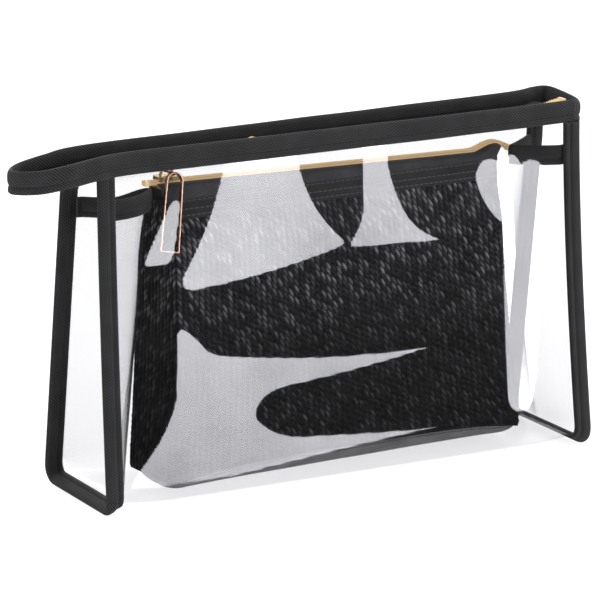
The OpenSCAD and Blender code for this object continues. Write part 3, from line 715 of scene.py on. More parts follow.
def pouch_outline(part, t, w, pouch):
    """Plan of the pouch at height w: a rounded rectangle with longer back than front.

    part is front, back, left or right; t runs along it from 0 to 1, from the middle of one corner's
    quarter circle to the middle of the next. Gives u, v and the outward direction."""
    depth = soft_interp(w, DEPTHS)
    lf = pouch.pouch_length / 2 + soft_interp(w, FRONT_ENDS)
    lb = pouch.pouch_length / 2 + soft_interp(w, BACK_ENDS)
    r = np.minimum(CORNER_R, 0.8 * depth)
    side = {"front": -1, "back": 1}.get(part)
    if side:
        ends = lf if side < 0 else lb
        run = ends - r
        arc = pi / 4 * r
        s = (2 * t - 1) * (run + arc)
        turn = np.clip((np.abs(s) - run) / r, 0, pi / 4) * np.sign(s)
        u = np.clip(s, -run, run) + r * np.sin(turn)
        v = side * (depth - r + r * np.cos(turn))
        return u, v, np.sin(turn), side * np.cos(turn)
    end = -1 if part == "left" else 1
    run = depth - r
    s = (2 * t - 1) * (run + pi / 4 * r)
    turn = np.clip((np.abs(s) - run) / r, 0, pi / 4) * np.sign(s)
    v = np.clip(s, -run, run) + r * np.sin(turn)
    reach = mix(lf, lb, 0.5 + 0.5 * np.clip(s / np.maximum(run, 0.1), -1, 1))
    u = end * (reach - r + r * np.cos(turn))
    return u, v, end * np.cos(turn), np.sin(turn)


def strand_height(s, w, pouch):
    """Relief of the weave and its tone: columns of slanted, rounded strands, each column shifted by half
    a strand; every strand has its own height and its own random tone. The tone also paints light: a
    highlight on each strand's crest, shade in the gaps between strands, and brighter strands towards the top."""
    column = s / pouch.strand_width
    a = column - np.floor(column) - 0.5
    shift = 0.5 * (np.floor(column) % 2)
    lean = 1.15 * a * pouch.strand_width / pouch.strand_rise
    q = w / pouch.strand_rise + lean + shift
    b = q - np.floor(q) - 0.5
    proud = np.maximum(0, 1 - (2.1 * a) ** 2) ** 0.7 * np.maximum(0, 1 - (2.1 * b) ** 2) ** 0.7
    draw = np.random.default_rng(7).uniform(0, 1, (64, 64, 2))
    own = draw[np.floor(column).astype(int) % 64, np.floor(q).astype(int) % 64]
    # Painted highlight: the strands grow brighter towards the top; the same share also raises their relief
    # there.
    lit = 0.2 + 0.8 * ease((w - 50) / 60)
    # Painted highlight on each strand's crest and painted shade in the gaps, times each strand's own random
    # tone.
    tone = lit * proud**2.2 * (0.08 + 1.5 * own[..., 0] ** 3)
    return pouch.strand_relief * (0.5 + 0.5 * lit) * proud * (0.75 + 0.35 * own[..., 1]), tone


# ---- operators ----
class BuildFinishes(bpy.types.Operator):
    """Makes the node groups and the materials of the bag and the pouch"""

    bl_idname = "makeup_bag.finishes"
    bl_label = "Finishes"

    def execute(self, context):
        look = context.scene.bag_finishes
        twill_group()
        straw_group()
        scuff_group()
        cloth("Black twill tape", tuple(look.tape), 0.0014, 1.0, 0.0004, 0.6, 0.12)
        cloth("Black thread", tuple(look.thread), 0.0004, 0.6, 0.00005, 0.45, 0.1)
        cloth("Grey hem thread", tuple(look.hem_thread), 0.0004, 0.6, 0.00005, 0.45, 0.1)
        cloth("Charcoal zip tape", tuple(look.zip_tape), 0.00055, 0.0, 0.00008, 0.7, 0.1)
        cloth("Black hem cloth", tuple(look.tape), 0.0008, 1.6, 0.00012, 0.55, 0.1)
        cloth("Dark base cloth", tuple(look.base), 0.0007, 0.4, 0.0001, 0.75, 0.1, 0.6)
        cloth("Grey lining cloth", tuple(look.lining), 0.0005, 0.0, 0.00005, 0.6, 0.1)
        straw_material(tuple(look.straw))
        # The zip elements get a painted glow: an emission of 0.25 in their own gold lightens them where they
        # sit in shade.
        metal("Gold zip metal with painted glow", tuple(look.zip_gold), 0.42, 0.2, 0.25)
        metal("Gold slider metal", tuple(look.gold), 0.28, 0.85)
        metal("Rose gold metal", tuple(look.rose), 0.24, 1.0)
        vinyl_material()
        return {"FINISHED"}


# Where the vinyl leans back and catches the key light: outlines on the front panel. Each corner has
# its x, its height over the floor sheet, and how far the side after it bows out (+) or in (-), in mm
LEANS = {
    "upper left": ((-60, 150, 0), (-26, 150, -5.5), (0, 104, 2), (-81, 92, 1.5), (-83, 98, -3)),
    "upper middle": ((7, 150, 0), (20, 150, -2), (26, 121, -4), (49, 100, 0), (-1, 102, -1), (8, 116, -0.5)),
    "upper right": ((74, 135, 0), (79, 131, 0), (86, 136, 1), (93, 124, 1.5), (82, 102, 2.5), (66, 126, 2.5)),
    "lower": ((-86, 77, 0.5), (-82, 76, 0.5), (-70, 63, -3), (44, 53, 1), (-36, 44, -2.5), (-50, 33, -3.5),
              (-23, 21, -0.5), (47, 16, -1.5), (-115, 1, 1), (-104, 19, -2), (-87, 46, 0)),
    "right side": ((80, 108, 0), (90, 130, 2.5), (103, 128, 3.5), (92, 18, 2.5), (79, 20, 0)),
    "beside the puller": ((-86, 134, 0), (-82, 133, 0), (-87, 105, 0), (-102, 105, 0)),
}
LEAN_STEP = 3.0


def lean_ring(corners):
    """Ring of points LEAN_STEP apart round an outline whose sides are parabolas, its corners eased twice
    by the weights 1 2 1."""
    corner = np.array(corners, float)
    start, bow = corner[:, None, :2], corner[:, None, 2:]
    side = np.roll(corner, -1, 0)[:, None, :2] - start
    out = np.stack([-side[..., 1], side[..., 0]], -1) / np.linalg.norm(side, axis=-1, keepdims=True)
    t = np.linspace(0, 1, 24, endpoint=False)[None, :, None]
    path = (start + t * side + 4 * t * (1 - t) * bow * out).reshape(-1, 2)
    path = np.vstack([path, path[:1]])
    s = lengths_along(path)
    at = np.linspace(0, s[-1], round(s[-1] / LEAN_STEP), endpoint=False)
    ring = np.stack([np.interp(at, s, path[:, k]) for k in range(2)], -1)
    for _ in range(2):
        ring = (np.roll(ring, 1, 0) + 2 * ring + np.roll(ring, -1, 0)) / 4
    return ring


def inside_outline(x, z, outline):
    """Signed distance into a closed outline: plus inside, minus outside."""
    ring = lean_ring(outline)
    a, b = ring, np.roll(ring, -1, 0)
    p = np.stack([x.ravel(), z.ravel()], -1)[:, None]
    d = b - a
    t = np.clip(((p - a) * d).sum(-1) / np.maximum((d * d).sum(-1), 1e-9), 0, 1)
    gap = np.linalg.norm(p - a - t[..., None] * d, axis=-1).min(1)
    straddles = (a[:, 1] > p[..., 1]) != (b[:, 1] > p[..., 1])
    dz = np.where(np.abs(d[:, 1]) < 1e-9, 1e-9, d[:, 1])
    crosses = straddles & (p[..., 0] < a[:, 0] + (p[..., 1] - a[:, 1]) / dz * d[:, 0])
    return np.where(crosses.sum(1) % 2 == 1, gap, -gap).reshape(x.shape)


LEAN_IN, LEAN_OUT = radians(11.5), radians(2.5)


class BuildVinyl(bpy.types.Operator):
    """Builds the clear wrap and the two folded gussets"""

    bl_idname = "makeup_bag.vinyl"
    bl_label = "Clear vinyl"

    def execute(self, context):
        bag = in_mm(context.scene.bag_sizes)
        rows = (140, 8, 16, 46)
        xs = np.linspace(-bag.bag_length / 2, bag.bag_length / 2, 200)
        outer = wrap_grid(xs, bag, rows)
        wave = smooth_waves(outer[..., 0], outer[..., 2], 120, 3)
        hold = ease((bag.bag_length / 2 - np.abs(outer[..., 0])) / 20) * ease(outer[..., 2] / 20) * ease(
            (bag.panel_height - outer[..., 2]) / 15)
        outer[..., 1] += 0.35 * wave * hold * np.sign(outer[..., 1])
        normal = grid_normals(outer)
        flip = np.sign((normal[:, : rows[0], 1] < 0).mean() - 0.5)
        outward = normal * flip
        inner = outer - bag.vinyl * outward
        # The sheen follows how far the sheet leans back, so its shading normals carry the lean
        x, z = outer[:, : rows[0], 0], outer[:, : rows[0], 2]
        lean = np.full(x.shape, -9.0)
        for outline in LEANS.values():
            lean = np.maximum(lean, inside_outline(x, z - FLOOR_MID, outline))
        share = ease((lean + 0.5) / 1.0)
        angle = mix(LEAN_OUT, LEAN_IN, share) + radians(0.5) * smooth_waves(x, z, 60, 5)
        keep = ease((z - floor_z(x, bag) - FOLD_R) / 4)
        angle = mix(np.arcsin(np.clip(outward[:, : rows[0], 2], -1, 1)), angle, keep)
        yaw = np.arctan2(outward[:, : rows[0], 0], -outward[:, : rows[0], 1])
        shading = np.zeros(outer.shape)
        shading[:, : rows[0]] = np.stack(
            [np.sin(yaw) * np.cos(angle), -np.cos(yaw) * np.cos(angle), np.sin(angle)], -1)
        shading = np.concatenate([shading.reshape(-1, 3), np.zeros((outer[..., 0].size, 3))])
        wrap = piece("clear_wrap_sheet", [shell(outer, inner)], finish("Clear vinyl"), "clear_bag",
                     ["clear_wrap"], normals=shading)
        for side, name in ((-1, "left"), (1, "right")):
            zs = np.linspace(floor_lift(bag) + bag.vinyl + 1, bag.panel_height - STRAP_DOWN - 5, 90)
            grid = gusset_row(side, zs, 2 * bag.vinyl + 0.2, bag, 22)
            wave = smooth_waves(grid[..., 1], grid[..., 2], 70, 11 + side)
            free = np.sin(pi * np.linspace(0, 1, grid.shape[1]))[None, :]
            grid[..., 0] += 0.5 * wave * free * side
            normal = grid_normals(grid)
            sheet = piece(f"{name}_gusset_sheet", [shell(grid, grid - bag.vinyl * normal * side)],
                          finish("Clear vinyl"), "clear_bag", [f"{name}_gusset"], sharp=40)
        return {"FINISHED"}


def tape_profile(width, thick, groove_at, lip=0.8, n=26):
    """Section of a folded tape: a plump outer part, a stitched groove, and a thinner inner lip.

    Gives (across, out) points round the section; across runs from 0 at the seam to width."""
    a = width * (1 - np.cos(np.linspace(0, pi, n))) / 2
    half = thick / 2
    main = (a - (groove_at + width) / 2) / ((width - groove_at) / 2)
    lip_at = (a - groove_at / 2) / (groove_at / 2)
    plump = half * np.maximum(0, 1 - np.abs(main) ** 3) ** 0.5
    thin = half * lip * np.maximum(0, 1 - np.abs(lip_at) ** 4) ** 0.5
    h = np.maximum(np.where(a > groove_at, plump, thin), 0.42 * half * (a > 0.02) * (a < width - 0.02))
    top = np.stack([a, h], -1)
    return np.vstack([top, top[-2:0:-1] * [1, -1]])


def end_path(side, bag):
    """Seam line of an end: down the front, round the corner, along the floor, up the back.

    Rows of y, z, tilt of the tape and angle of the outward direction."""
    x = np.array(side * bag.bag_length / 2)
    lift = floor_lift(bag)
    low = lift + FOLD_R
    yf, yb = float(front_y(x, low, bag)), float(back_y(x, low, bag))
    k = np.linspace(0, 1, 13)
    t = np.linspace(0.03, 0.97, 26)
    zf = np.linspace(bag.panel_height, low + 1, 80)
    zb = zf[::-1]
    a, b = radians(180) + radians(90) * k, radians(270) + radians(90) * k
    tilt = TAPE_TILT
    rows = [
        np.stack([front_y(x, zf, bag), zf, 0 * zf, 0 * zf + pi], -1),
        np.stack([yf + FOLD_R + FOLD_R * np.cos(a), low + FOLD_R * np.sin(a), tilt * ease(k), a], -1),
        np.stack([mix(yf + FOLD_R, yb - FOLD_R, t), 0 * t + lift, 0 * t + tilt, 0 * t + 1.5 * pi], -1),
        np.stack([yb - FOLD_R + FOLD_R * np.cos(b), low + FOLD_R * np.sin(b), tilt * ease(1 - k), b], -1),
        np.stack([back_y(x, zb, bag), zb, 0 * zb, 0 * zb + 2 * pi], -1),
    ]
    return np.vstack(rows)


class BuildBindings(bpy.types.Operator):
    """Builds the twill bindings of the ends, the gussets and the rim, with their stitches"""

    bl_idname = "makeup_bag.bindings"
    bl_label = "Tape bindings"

    def execute(self, context):
        bag = in_mm(context.scene.bag_sizes)
        tape, thread = finish("Black twill tape"), finish("Black thread")
        groove = 0.32 * bag.tape_width
        for side, name in ((-1, "left"), (1, "right")):
            path = end_path(side, bag)
            y, z, tilt, out_angle = path.T
            out = np.stack([0 * y, np.cos(out_angle), np.sin(out_angle)], -1)
            x_axis = np.array([side, 0, 0.0])
            wide = np.cos(tilt)[:, None] * x_axis + np.sin(tilt)[:, None] * out
            thick = np.cos(tilt)[:, None] * out - np.sin(tilt)[:, None] * x_axis
            seam = np.stack([0 * y + side * bag.bag_length / 2, y, z], -1)
            profile = tape_profile(bag.tape_width, bag.tape_thick, groove)
            # The upright tape laps over the floor tape with a small step at each corner
            flat = 1 - 0.16 * ease((tilt - 0.6 * TAPE_TILT) / (0.1 * TAPE_TILT))
            s = lengths_along(seam)
            slack = 1 + 0.04 * smooth_waves(s, 0 * s, 50, 21 + side)
            rings = seam[:, None] + profile[None, :, :1] * wide[:, None] + (
                profile[None, :, 1:] * (flat * slack)[:, None, None] * thick[:, None])
            stitches = []
            for face in (1, -1):
                line = seam + groove * wide + face * (0.42 * bag.tape_thick / 2 * flat)[:, None] * thick
                centres, along, at = resample(line, bag.stitch_pitch)
                up = np.stack([np.interp(at, s / s[-1], face * thick[:, k]) for k in range(3)], -1)
                up -= (up * along).sum(1, keepdims=True) * along
                up /= np.linalg.norm(up, axis=1, keepdims=True)
                stitches.append(beads(centres, along, up, (1.05, 0.24, 0.2)))
            piece(f"{name}_end_tape", [tube(rings)], tape, "clear_bag",
                  [f"{name}_end_binding"])
            piece(f"{name}_end_stitches", stitches, thread, "clear_bag")
            # Gusset strap: the same tape, upright, along the gusset's folded plan
            mid = bag.panel_height - STRAP_DOWN - bag.strap_height / 2
            row = gusset_row(side, [mid], bag.vinyl + bag.strap_thick / 2 + 0.25, bag, 30)[0]
            seam_in = 1.6 * (side * row[:, :1] > bag.bag_length / 2 - 0.5)
            row = row + seam_in * [side, 0.4 * side, 0]
            along = np.gradient(row, axis=0)
            along /= np.linalg.norm(along, axis=1, keepdims=True)
            normal = np.stack([along[:, 1], -along[:, 0], 0 * along[:, 0]], -1)
            profile = tape_profile(bag.strap_height, bag.strap_thick, 0.26 * bag.strap_height)
            rings = row[:, None] + (profile[None, :, :1] - bag.strap_height / 2) * np.array([0, 0, 1.0]) + (
                profile[None, :, 1:] * normal[:, None])
            stitches = []
            for face in (1, -1):
                line = row + face * 0.42 * bag.strap_thick / 2 * normal + [
                    0, 0, (0.26 - 0.5) * bag.strap_height]
                centres, ahead, at = resample(line, bag.stitch_pitch)
                up = face * np.stack([ahead[:, 1], -ahead[:, 0], 0 * ahead[:, 0]], -1)
                stitches.append(beads(centres, ahead, up, (1.05, 0.22, 0.2)))
            piece(f"{name}_gusset_tape", [tube(rings)], tape, "clear_bag",
                  [f"{name}_gusset_binding"])
            piece(f"{name}_gusset_stitches", stitches, thread, "clear_bag")
        # Rim: the tape stands on edge along the closed rim line
        curve = closed_curve(RIM, 18)
        d = np.roll(curve, -1, 0)[:, :2] - np.roll(curve, 1, 0)[:, :2]
        normal = np.stack([d[:, 1], -d[:, 0], 0 * d[:, 0]], -1)
        normal /= np.linalg.norm(normal, axis=1, keepdims=True)
        base = np.stack([curve[:, 0], curve[:, 1], bag.panel_height - curve[:, 2]], -1)
        s = lengths_along(base)
        base[:, 2] += 0.15 * smooth_waves(s, 0 * s, s[-1] / 9, 31) * ease(s / 20) * ease((s[-1] - s) / 20)
        profile = tape_profile(bag.rim_height, bag.rim_thick, 0.31 * bag.rim_height, 0.86, 30)
        up = np.array([0, 0, 1.0])
        rings = base[:, None] + profile[None, :, :1] * up + profile[None, :, 1:] * normal[:, None]
        stitches = []
        for face in (1, -1):
            line = base + 0.31 * bag.rim_height * up + face * 0.42 * bag.rim_thick / 2 * normal
            centres, ahead, at = resample(np.vstack([line, line[:1]]), bag.stitch_pitch)
            out = face * np.stack([ahead[:, 1], -ahead[:, 0], 0 * ahead[:, 0]], -1)
            out /= np.linalg.norm(out, axis=1, keepdims=True)
            stitches.append(beads(centres, ahead, out, (1.05, 0.26, 0.22)))
        piece("rim_tape", [tube(rings, loop=True)], tape, "clear_bag", ["rim_binding"])
        piece("rim_stitches", stitches, thread, "clear_bag")
        return {"FINISHED"}


def rim_crossing(xs, side):
    """Y of the rim's middle line at each x on the front (-1) or back (+1) run, and its slope there."""
    curve = closed_curve(RIM, 18)
    tip = int(np.argmin(curve[:, 0]))
    front = curve[: tip + 1]
    back = curve[tip:]
    back = back[: int(np.argmax(back[:, 0])) + 1]
    run = front[::-1] if side < 0 else back
    y = np.interp(xs, run[:, 0], run[:, 1])
    slope = (np.interp(xs + 1, run[:, 0], run[:, 1]) - np.interp(xs - 1, run[:, 0], run[:, 1])) / 2
    return y, slope


class BuildOuterZip(bpy.types.Operator):
    """Builds the outer zip: its two tapes and its gold elements"""

    bl_idname = "makeup_bag.outer_zip"
    bl_label = "Outer zip"

    def execute(self, context):
        bag, zips = in_mm(context.scene.bag_sizes), in_mm(context.scene.zip_sizes)
        row_out = ROW_GAP / 2 + zips.row_width
        us = np.linspace(OUTER_TAPE_FROM, OUTER_TO - 3, 180)
        for side, name in ((-1, "front"), (1, "back")):
            row = placed(np.stack([us, 0 * us + side * (row_out - 0.3), climb(us)], -1), OUTER_ZIP)
            y, slope = rim_crossing(row[:, 0], side)
            half = bag.rim_thick / 2 * np.sqrt(1 + slope**2) - 0.25
            rim = np.stack([row[:, 0], y - side * half, OUTER_ZIP_LEVEL + 0.5 * climb(us)], -1)
            k = np.linspace(0, 1, 12)
            sag = -0.7 * np.sin(pi * k) ** 2
            grid = mix(rim[:, None], row[:, None], k[None, :, None])
            grid[..., 2] += sag[None] + 0.12 * smooth_waves(us[:, None], 10 * k[None], 40, 41 + side)
            lift = np.array([0, 0, zips.tape / 2])
            piece(f"outer_zip_tape_{name}", [shell(grid + lift, grid - lift)], finish("Charcoal zip tape"),
                  "clear_bag", [f"outer_tape_{name}"])
            points, faces, uv = element_row(OUTER_FROM, OUTER_TO, climb, side, zips, 0.475 * (1 + side))
            piece(f"outer_zip_elements_{name}", [(placed(points, OUTER_ZIP), faces, uv)],
                  finish("Gold zip metal with painted glow"), "clear_bag", [f"outer_teeth_{name}"])
        return {"FINISHED"}


def strip_loop(centres, radii, strip, depth, n=10):
    """A loop bent from flat strip: the outline round circles, with a rounded section carried along it.

    The outline lies in the first and third axes; the strip's depth is along the second."""
    phi = np.linspace(0, 2 * pi, 16 * n, endpoint=False)
    normal = np.stack([np.cos(phi), np.sin(phi)], -1)
    c, r = np.array(centres, float), np.array(radii, float)
    reach = normal @ c.T + r
    pick = reach.argmax(1)
    line = c[pick] + (r[pick] - strip / 2)[:, None] * normal
    # Long straight runs get points of their own
    s = lengths_along(np.vstack([line, line[:1]]))
    at = np.unique(np.concatenate([s, np.arange(0, s[-1], 1.5)]))[:-1]
    closed, closed_n = np.vstack([line, line[:1]]), np.vstack([normal, normal[:1]])
    line = np.stack([np.interp(at, s, closed[:, k]) for k in range(2)], -1)
    normal = np.stack([np.interp(at, s, closed_n[:, k]) for k in range(2)], -1)
    normal /= np.linalg.norm(normal, axis=1, keepdims=True)
    q = np.linspace(0, 2 * pi, 16, endpoint=False) + pi / 16
    bevel = 0.3 * strip
    a = np.clip(np.cos(q) * 2, -1, 1) * (strip / 2 - bevel) + bevel * np.cos(q)
    b = np.clip(np.sin(q) * 2, -1, 1) * (depth / 2 - bevel) + bevel * np.sin(q)
    flat = line[:, None] + a[None, :, None] * normal[:, None]
    rings = np.stack([flat[..., 0], np.broadcast_to(b, flat.shape[:2]), flat[..., 1]], -1)
    return tube(rings, loop=True)


def rod(a, b, radius, n=16):
    """A round pin from a to b with domed ends."""
    a, b = np.array(a, float), np.array(b, float)
    axis = (b - a) / np.linalg.norm(b - a)
    side = np.cross(axis, [0, 0, 1.0] if abs(axis[2]) < 0.9 else [1.0, 0, 0])
    side /= np.linalg.norm(side)
    other = np.cross(axis, side)
    q = np.linspace(0, 2 * pi, n, endpoint=False)
    ring = np.cos(q)[:, None] * side + np.sin(q)[:, None] * other
    rings = [p + r * radius * ring for p, r in (
        (a, 0.55), (a + 0.12 * axis, 0.85), (a + 0.3 * axis, 1), (b - 0.3 * axis, 1), (b - 0.12 * axis, 0.85),
        (b, 0.55))]
    return tube(np.array(rings))


class BuildPullers(bpy.types.Operator):
    """Builds the two rose gold pullers, bent from flat strip, with their pins"""

    bl_idname = "makeup_bag.pullers"
    bl_label = "Pullers"

    def execute(self, context):
        pouch, zips = in_mm(context.scene.pouch_sizes), in_mm(context.scene.zip_sizes)
        wide, long, depth = zips.puller_width, zips.puller_length + 1, zips.puller_depth
        rose = finish("Rose gold metal")
        arch = wide / 2 - 0.6
        centres = ((0, 1 - arch), (wide / 2 - 0.8, 1.8 - long), (0.8 - wide / 2, 1.8 - long))
        loop = strip_loop(centres, (arch, 0.8, 0.8), STRIP, depth)
        hang = Euler((radians(-14.6), radians(8.5), radians(-12))).to_matrix().to_4x4()
        at = pouch_zip_frame(pouch) @ Matrix.Translation((POUCH_SLIDER_AT, 0, PIN_W))
        parts = [transformed(loop, at @ Matrix.Translation((0, -7.2, 0)) @ hang),
                 transformed(rod((0, 2.2, 0), (0, -7.2, 0), PIN_R), at)]
        piece("pouch_pull_tab", parts, rose, "pouch_puller", ["pouch_puller"], sharp=50)
        span = wide - 1.8
        flat = 0.8
        centres = ((flat - PIN_R, span / 2 - flat), (flat - PIN_R, flat - span / 2),
                   (zips.puller_length - PIN_R - flat, span / 2 - flat),
                   (zips.puller_length - PIN_R - flat, flat - span / 2))
        points, faces, uv = strip_loop(centres, (flat,) * 4, STRIP, 2 * PIN_R)
        points = points[:, [0, 2, 1]]
        at = OUTER_ZIP @ Matrix.Translation((OUTER_SLIDER_AT, 0, PIN_W)) @ Matrix.Rotation(radians(4), 4, "Y")
        parts = [(placed(points, at), faces, uv),
                 transformed(rod((0, -span / 2, 0), (0, span / 2, 0), PIN_R), at)]
        piece("outer_pull_tab", parts, rose, "outer_puller", ["outer_puller"], sharp=50)
        # The stops share the zip elements' metal, painted glow included; the slider parts take the slider
        # metal, which has no glow.
        for name in ("outer_slider_body", "pouch_slider_body", "outer_slider_bail", "pouch_slider_bail",
                     "outer_top_stops", "outer_bottom_stop", "pouch_top_stops", "pouch_bottom_stop"):
            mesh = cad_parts[name].data
            mesh.materials.clear()
            mesh.materials.append(finish("Gold slider metal" if "slider" in name else "Gold zip metal with painted glow"))
        return {"FINISHED"}


class BuildWovenPouch(bpy.types.Operator):
    """Builds the woven walls of the pouch as relief, strand by strand"""

    bl_idname = "makeup_bag.woven_pouch"
    bl_label = "Woven pouch"

    def execute(self, context):
        pouch = in_mm(context.scene.pouch_sizes)
        straw = finish("Black woven straw")
        per_strand = 5
        for part in ("front", "back", "left", "right"):
            face = part in ("front", "back")
            long = pouch.pouch_length - 2 if face else 39.0
            count = round(long / pouch.strand_width)
            t = (np.arange(count * per_strand + 1) / (count * per_strand))[:, None]
            u_ref = (t - 0.5) * pouch.pouch_length if face else np.full_like(t, pouch.pouch_length / 2)
            low = seam_height(u_ref, pouch)
            high = HEM_FROM + 0.5 if face else HEM_TO
            k = np.linspace(0, 1, 186)[None, :]
            w = mix(low, high, k)
            u, v, nu, nv = pouch_outline(part, t, w, pouch)
            s = t * count * pouch.strand_width * np.ones_like(w)
            edge = ease(np.minimum(w - low, high - w) / 1.5)
            relief, tone = strand_height(s, w, pouch)
            relief = relief * edge
            soft = 0.35 * smooth_waves(u + 300 * nv, w, 60, 51)
            out = relief - 0.25 + soft * edge * ease((high - w) / 20)
            outer = np.stack([u + nu * out, v + nv * out, w], -1)
            back = soft * edge * ease((high - w) / 20) - pouch.wall
            inner = np.stack([u + nu * back, v + nv * back, w], -1)
            points, faces, uv = shell(outer, inner)
            node = f"pouch_{part}_panel" if face else f"pouch_{part}_side"
            wall = piece(f"woven_{part}", [(placed(points, IN_POUCH), faces, uv)], straw, "pouch",
                         [node])
            # Per-point tone with its painted crest highlights and gap shade, on the outer face only.
            shade = wall.data.attributes.new("ToneAndPaintedLight", "FLOAT", "POINT")
            both_faces = np.concatenate([tone.ravel(), 0 * tone.ravel()])
            shade.data.foreach_set("value", both_faces.astype(np.float32))
        return {"FINISHED"}


class BuildPouchCloth(bpy.types.Operator):
    """Builds the pouch's base, lining, stitched hems, zip tapes and elements"""

    bl_idname = "makeup_bag.pouch_cloth"
    bl_label = "Pouch cloth and zip"

    def execute(self, context):
        pouch, zips = in_mm(context.scene.pouch_sizes), in_mm(context.scene.zip_sizes)
        half = pouch.pouch_length / 2
        # Base: flat underneath, turning up to the seams with the cube of the distance from the middle
        a = np.linspace(-1, 1, 120)[:, None]
        b = np.linspace(-1, 1, 60)[None, :]
        end = np.sqrt(np.maximum(0, 1 - np.maximum(0, (np.abs(a) * half - (half - 9)) / 8.2) ** 2))
        u = a * (half - 1.2)
        v = b * (float(soft_interp(6.0, DEPTHS)) - 0.4 - (1 - end) * 6)
        rise = (seam_height(u, pouch) - 0.6 - pouch.wall) * np.abs(b) ** 3 + 3.5 * (1 - end)
        rise = rise + 0.15 * smooth_waves(u, v, 40, 61)
        top = np.stack([u + 0 * v, v + 0 * u, rise + pouch.wall], -1)
        under = top - [0, 0, 1] * np.array(pouch.wall)
        points, faces, uv = shell(top, under)
        base = piece("pouch_base_cloth", [(placed(points, IN_POUCH), faces, uv)], finish("Dark base cloth"),
                     "pouch", ["pouch_base"])
        # Lining: up the front, over the base and up the back
        gap = pouch.wall + 0.9
        ws, bs = np.linspace(HEM_FROM - 4, 16, 40), np.linspace(-0.9, 0.9, 30)
        reach = float(soft_interp(6.0, DEPTHS)) - gap
        wall = soft_interp(ws, DEPTHS) - gap
        lv = np.concatenate([-wall, bs * reach, wall[::-1]])
        lw = np.concatenate([ws, gap + 11 * np.abs(bs) ** 3, ws[::-1]])
        lu = np.linspace(-1, 1, 60)[:, None] * (half - 18)
        grid = np.stack([lu + 0 * lv, lv + 0 * lu, lw + 0 * lu], -1)
        grid[..., 1] += 0.25 * smooth_waves(grid[..., 0], grid[..., 2], 45, 63) * np.sign(-grid[..., 1])
        points, faces, uv = shell(grid, grid + 0.4 * grid_normals(grid))
        lining = piece("pouch_lining_cloth", [(placed(points, IN_POUCH), faces, uv)],
                       finish("Grey lining cloth"), "pouch", ["pouch_lining"])
        row_out = ROW_GAP / 2 + zips.row_width
        frame_zip = pouch_zip_frame(pouch)
        for side, name in ((-1, "front"), (1, "back")):
            # Hem: a smooth band with three rows of stitches
            t = np.linspace(0, 1, 160)[:, None]
            w = np.linspace(HEM_FROM - 0.6, HEM_TO, 26)[None, :]
            u, v, nu, nv = pouch_outline(name, t, w, pouch)
            rows = HEM_FROM + np.array([0.7, 3.3, 6.6])
            dent = sum(np.exp(-((w - at) / 0.45) ** 2) for at in rows)
            out = 0.45 - 0.35 * dent * np.ones_like(u)
            outer = np.stack([u + nu * out, v + nv * out, w + 0 * u], -1)
            inner = np.stack([u - nu * 0.7, v - nv * 0.7, w + 0 * u], -1)
            points, faces, uv = shell(outer, inner)
            piece(f"pouch_hem_{name}", [(placed(points, IN_POUCH), faces, uv)], finish("Black hem cloth"),
                  "pouch", [f"pouch_{name}_hem"])
            stitches = []
            for at in rows:
                tt = np.linspace(0.015, 0.985, 200)
                u, v, nu, nv = pouch_outline(name, tt, np.full_like(tt, at), pouch)
                line = np.stack([u + nu * 0.16, v + nv * 0.16, 0 * u + at], -1)
                centres, ahead, along = resample(line, 2.6)
                up = np.stack([np.interp(along, tt, nu), np.interp(along, tt, nv), 0 * along], -1)
                up -= (up * ahead).sum(1, keepdims=True) * ahead
                up /= np.linalg.norm(up, axis=1, keepdims=True)
                p, f, uv = beads(centres, ahead, up, (0.95, 0.24, 0.24))
                stitches.append((placed(p, IN_POUCH), f, uv))
            piece(f"pouch_hem_stitches_{name}", stitches, finish("Grey hem thread"), "pouch")
            # Zip tape: up from the hem, then in to its element row
            a = np.linspace(-1, 1, 180)
            foot_u, foot_v, _, _ = pouch_outline(name, (a + 1) / 2, np.full_like(a, HEM_TO), pouch)
            reach = a * POUCH_TAPE_HALF
            top = pouch.pouch_height - tan(ZIP_SLOPE) * reach + hump(reach)
            foot = np.stack([foot_u, foot_v, 0 * a + HEM_TO], -1)
            bend = np.stack([reach, 0 * a + side * 5, top - 1.3], -1)
            level = np.stack([reach, 0 * a + side * 4.2, top - 0.85], -1)
            row = np.stack([reach, 0 * a + side * (row_out - 0.3), top - 0.55], -1)
            k = np.linspace(0, 1, 9)[None, :, None]
            grid = np.concatenate([mix(foot[:, None], bend[:, None], k[:, :-1]),
                                   mix(bend[:, None], level[:, None], k[:, :-1:2]),
                                   mix(level[:, None], row[:, None], k[:, ::2])], 1)
            normal = grid_normals(grid)
            normal *= np.sign(normal[90, 12, 2])
            points, faces, uv = shell(grid + zips.tape / 2 * normal, grid - zips.tape / 2 * normal)
            piece(f"pouch_zip_tape_{name}", [(placed(points, IN_POUCH), faces, uv)],
                  finish("Charcoal zip tape"), "pouch", [f"pouch_tape_{name}"])
            points, faces, uv = element_row(POUCH_FROM, POUCH_TO, hump, side, zips, 0.475 * (1 + side))
            piece(f"pouch_zip_elements_{name}", [(placed(points, frame_zip), faces, uv)],
                  finish("Gold zip metal with painted glow"), "pouch", [f"pouch_teeth_{name}"])
        return {"FINISHED"}


